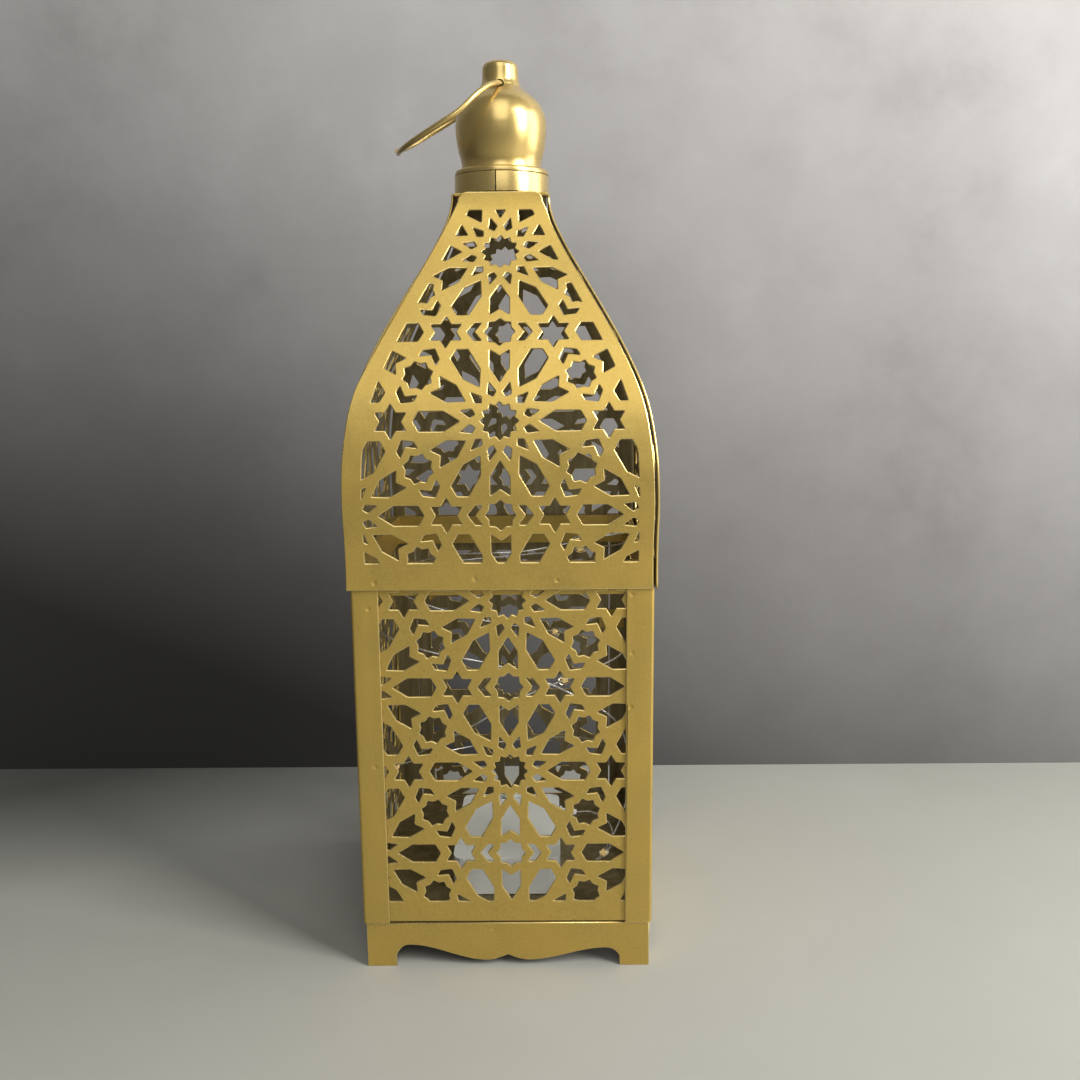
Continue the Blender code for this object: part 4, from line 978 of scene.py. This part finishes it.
def gold_material(group, name, light, dark, rough, metallic, relief=0.6):
    """Gold paint between two shades; rough is its range of roughness, relief the strength of its bumps."""
    mat, tree, shader = plain_material(name, light, rough[0], metallic)
    where = object_coordinates(tree)
    paint = tree.nodes.new("ShaderNodeGroup")
    paint.node_tree = group
    link(tree, where, paint.inputs["Vector"])
    grained = mix_colour(tree, spread_range(tree, paint.outputs["Grain"], 0.35, 0.65), dark, light)
    warm = tuple(c * k for c, k in zip(light, (1.06, 0.98, 0.80)))
    cloudy = mix_colour(tree, spread_range(tree, paint.outputs["Clouds"], 0.0, 1.0, 0.0, 0.55), grained, warm)
    pitted = mix_colour(tree, spread_range(tree, paint.outputs["Pinholes"], 0.0, 1.0, 0.0, 0.5), cloudy,
                        tuple(0.45 * c for c in dark))
    link(tree, pitted, shader.inputs["Base Color"])
    link(tree, spread_range(tree, paint.outputs["Clouds"], 0.0, 1.0, *rough), shader.inputs["Roughness"])
    bump(tree, paint.outputs["Height"], shader, 0.00004, relief)
    return mat


def shaded_inside_material():
    """The inside of the sheets: the gold paint darkened as painted shade, with upright streaks."""
    mat, tree, shader = plain_material("inside_gold_painted_shade", (0.29, 0.245, 0.125), 0.42, 0.70)
    long = add_node(tree, "ShaderNodeMapping", Scale=(1.0, 1.0, 0.12))
    link(tree, object_coordinates(tree), long.inputs["Vector"])
    streaks = noise(tree, long.outputs["Vector"], 260.0, 5.0, 0.65)
    cover = spread_range(tree, streaks, 0.38, 0.62)
    # painted shade: both streak colours are the gold paint darkened to the shade inside the lantern
    tint = mix_colour(tree, cover, (0.175, 0.138, 0.06), (0.28, 0.235, 0.13))
    link(tree, tint, shader.inputs["Base Color"])
    link(tree, spread_range(tree, cover, 0.0, 1.0, 0.52, 0.36), shader.inputs["Roughness"])
    return mat


def make_materials():
    group = paint_group()
    mats = {}
    mats["gold"] = gold_material(
        group, "satin_gold_paint", (0.48, 0.343, 0.092), (0.39, 0.272, 0.064), (0.34, 0.46), 0.70)
    mats["finial"] = gold_material(
        group, "finial_gold_paint", (0.54, 0.405, 0.150), (0.47, 0.345, 0.115), (0.24, 0.32), 0.78, 0.05)
    for name, value in (("Coat Weight", 0.4), ("Coat Roughness", 0.20)):
        mats["finial"].node_tree.nodes["Principled BSDF"].inputs[name].default_value = value
    # paler gold on the front rims: partly rubbed paint, partly painted highlight where light catches the
    # stamped edges
    mats["rim"] = gold_material(
        group, "rubbed_rim_and_painted_highlight", (0.63, 0.50, 0.22), (0.52, 0.40, 0.15), (0.24, 0.34), 0.85)
    mats["inside"] = shaded_inside_material()
    mats["steel"], tree, shader = plain_material("zinc_steel", (0.55, 0.55, 0.53), 0.35, 1.0)
    streaks = noise(tree, object_coordinates(tree), 900.0)
    link(tree, spread_range(tree, streaks, 0.3, 0.7, 0.25, 0.5), shader.inputs["Roughness"])
    mats["plastic"], tree, shader = plain_material("pale_gloss_plastic", (0.78, 0.80, 0.76), 0.16)
    where = object_coordinates(tree)
    tint = mix_colour(tree, noise(tree, where, 40.0), (0.76, 0.785, 0.74), (0.82, 0.835, 0.80))
    link(tree, tint, shader.inputs["Base Color"])
    gloss = spread_range(tree, noise(tree, where, 350.0), 0.3, 0.7, 0.12, 0.24)
    link(tree, gloss, shader.inputs["Roughness"])
    bump(tree, noise(tree, where, 700.0), shader, 0.00001, 0.5)
    mats["wrap"], tree, shader = plain_material("cell_wrap", (0.10, 0.12, 0.13), 0.35, 0.2)
    scuffs = noise(tree, object_coordinates(tree), 300.0)
    link(tree, mix_colour(tree, scuffs, (0.07, 0.09, 0.10), (0.13, 0.15, 0.16)), shader.inputs["Base Color"])
    mats["board"], tree, shader = plain_material("circuit_board", (0.05, 0.18, 0.07), 0.5)
    weave = noise(tree, object_coordinates(tree), 800.0)
    link(tree, mix_colour(tree, weave, (0.03, 0.13, 0.05), (0.07, 0.22, 0.09)), shader.inputs["Base Color"])
    mats["silver"], tree, shader = plain_material("silver_wire", (0.80, 0.80, 0.78), 0.28, 0.9)
    tarnish = noise(tree, object_coordinates(tree), 1200.0)
    link(tree, spread_range(tree, tarnish, 0.3, 0.7, 0.2, 0.4), shader.inputs["Roughness"])
    mats["resin"], tree, shader = plain_material("clear_resin", (1.0, 0.93, 0.74), 0.05)
    shader.inputs["Transmission Weight"].default_value = 1.0
    shader.inputs["IOR"].default_value = 1.5
    haze = noise(tree, object_coordinates(tree), 900.0)
    link(tree, spread_range(tree, haze, 0.3, 0.7, 0.03, 0.12), shader.inputs["Roughness"])
    mats["glow"], tree, shader = plain_material("light_chip", (1.0, 0.82, 0.40), 0.4)
    grain = noise(tree, object_coordinates(tree), 2500.0)
    warm = mix_colour(tree, grain, (1.0, 0.62, 0.22), (1.0, 0.80, 0.42))
    link(tree, warm, shader.inputs["Emission Color"])
    shader.inputs["Emission Strength"].default_value = 0.35
    return mats


def soften_edges(node, width):
    """Eases a construction mesh's sharp edges without changing the mesh itself."""
    weld = node.modifiers.new("weld", "WELD")
    weld.merge_threshold = 0.00001
    ease = node.modifiers.new("ease", "BEVEL")
    ease.width = width
    ease.segments = 3
    ease.limit_method = "ANGLE"
    ease.angle_limit = math.radians(40)
    ease.use_clamp_overlap = True


def dress_cad_nodes(mats):
    """CAD nodes whose shape is right keep it and get their finish."""
    finishes = {
        # the floor plate takes the inside's darkened gold: painted shade
        "inside": ("floor_plate",),
        "gold": ("upper_frame", "cap_plate", "door_stop", "door_leaf_lower", "door_leaf_upper",
                 "post_leaf_lower", "post_leaf_upper", "door_knob"),
        "steel": ("finial_disc", "finial_screw", "finial_washer", "finial_nut", "hinge_pin_lower",
                  "hinge_pin_upper", "door_knob_nut", "contact_front_bridge", "contact_front_end",
                  "contact_rear_end", "contact_rear_bridge"),
        "plastic": ("battery_case", "battery_cover", "switch_frame", "switch_slider", "lead_gland"),
        "wrap": ("battery_cell_1", "battery_cell_2", "battery_cell_3"),
        "board": ("timer_board",),
    }
    for finish, names in finishes.items():
        for name in names:
            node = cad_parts[name]
            node.data.materials.clear()
            node.data.materials.append(mats[finish])
            soften_edges(node, EDGE_EASE.get(name, SMALL_EASE))


# Studio

def mottled(name, base, pale, dark, rough):
    """A matt surface with broad clouds and small stains, as plaster has."""
    mat, tree, shader = plain_material(name, base, rough)
    where = object_coordinates(tree)
    broad = spread_range(tree, noise(tree, where, 7.0, 6.0, 0.62), 0.34, 0.66)
    stains = spread_range(tree, noise(tree, where, 32.0, 8.0, 0.70), 0.42, 0.72)
    clouds = mix_colour(tree, broad, dark, pale)
    link(tree, mix_colour(tree, stains, clouds, base), shader.inputs["Base Color"])
    return mat, tree, shader


def paint_shade_across(tree, shader, slope, bounds, dark):
    """Painted shade: the surface's colour darkens along a straight slope across it, from its own colour to a
    darker one.
    """
    shade = tree.nodes.new("ShaderNodeVectorMath")
    shade.operation = "DOT_PRODUCT"
    link(tree, object_coordinates(tree), shade.inputs[0])
    shade.inputs[1].default_value = slope
    depth = spread_range(tree, shade.outputs["Value"], *bounds)
    mottle = shader.inputs["Base Color"].links[0].from_socket
    link(tree, mix_colour(tree, depth, dark, mottle), shader.inputs["Base Color"])


def stage_object(name, bm, mat):
    mesh = bpy.data.meshes.new(name)
    bm.to_mesh(mesh)
    bm.free()
    mesh.materials.append(mat)
    obj = bpy.data.objects.new(name, mesh)
    bpy.context.scene.collection.objects.link(obj)
    return obj


def make_stage():
    """A pale table against a plaster wall; from behind, the wall isn't seen."""
    floor_mat, tree, shader = mottled("pale_table", (0.31, 0.31, 0.278), (0.32, 0.32, 0.29),
                                      (0.295, 0.295, 0.262), 0.55)
    # painted shadow of the lantern on the table
    paint_shade_across(tree, shader, TABLE_SHADE, TABLE_SHADE_RANGE, (0.11, 0.11, 0.10))
    bm = bmesh.new()
    bmesh.ops.create_grid(bm, x_segments=1, y_segments=1, size=TABLE_HALF)
    table = stage_object("table", bm, floor_mat)
    wall_mat, tree, shader = mottled("plaster_wall", (0.43, 0.42, 0.415), (0.50, 0.49, 0.485),
                                     (0.345, 0.335, 0.33), 0.85)
    # painted light and shade on the wall: its colour falls to near black towards the bottom left
    paint_shade_across(tree, shader, WALL_SHADE, WALL_SHADE_RANGE, (0.02, 0.019, 0.018))
    output = tree.nodes["Material Output"]
    clear = tree.nodes.new("ShaderNodeBsdfTransparent")
    behind = tree.nodes.new("ShaderNodeNewGeometry").outputs["Backfacing"]
    choose = tree.nodes.new("ShaderNodeMixShader")
    link(tree, behind, choose.inputs[0])
    link(tree, shader.outputs[0], choose.inputs[1])
    link(tree, clear.outputs[0], choose.inputs[2])
    link(tree, choose.outputs[0], output.inputs["Surface"])
    bm = bmesh.new()
    corners = ((-WALL_HALF, 0.0), (WALL_HALF, 0.0), (WALL_HALF, WALL_TOP), (-WALL_HALF, WALL_TOP))
    bm.faces.new([bm.verts.new((x, WALL_Y, z)) for x, z in corners])
    wall = stage_object("wall", bm, wall_mat)


def build():
    make_camera()
    mats = make_materials()
    make_wire(mats["silver"], mats["resin"], mats["glow"])
    make_lights()
    make_stage()
    dress_cad_nodes(mats)
    sheet_finish = [mats["gold"], mats["inside"], mats["rim"]]
    make_skirts(sheet_finish)
    make_posts(sheet_finish)
    make_body_panels(sheet_finish)
    make_door_panel(sheet_finish)
    make_roof(sheet_finish)
    make_collar(mats["finial"])
    make_finial(mats["finial"])
    make_ring(mats["finial"])
    bpy.context.scene.view_settings.view_transform = "Standard"


build()
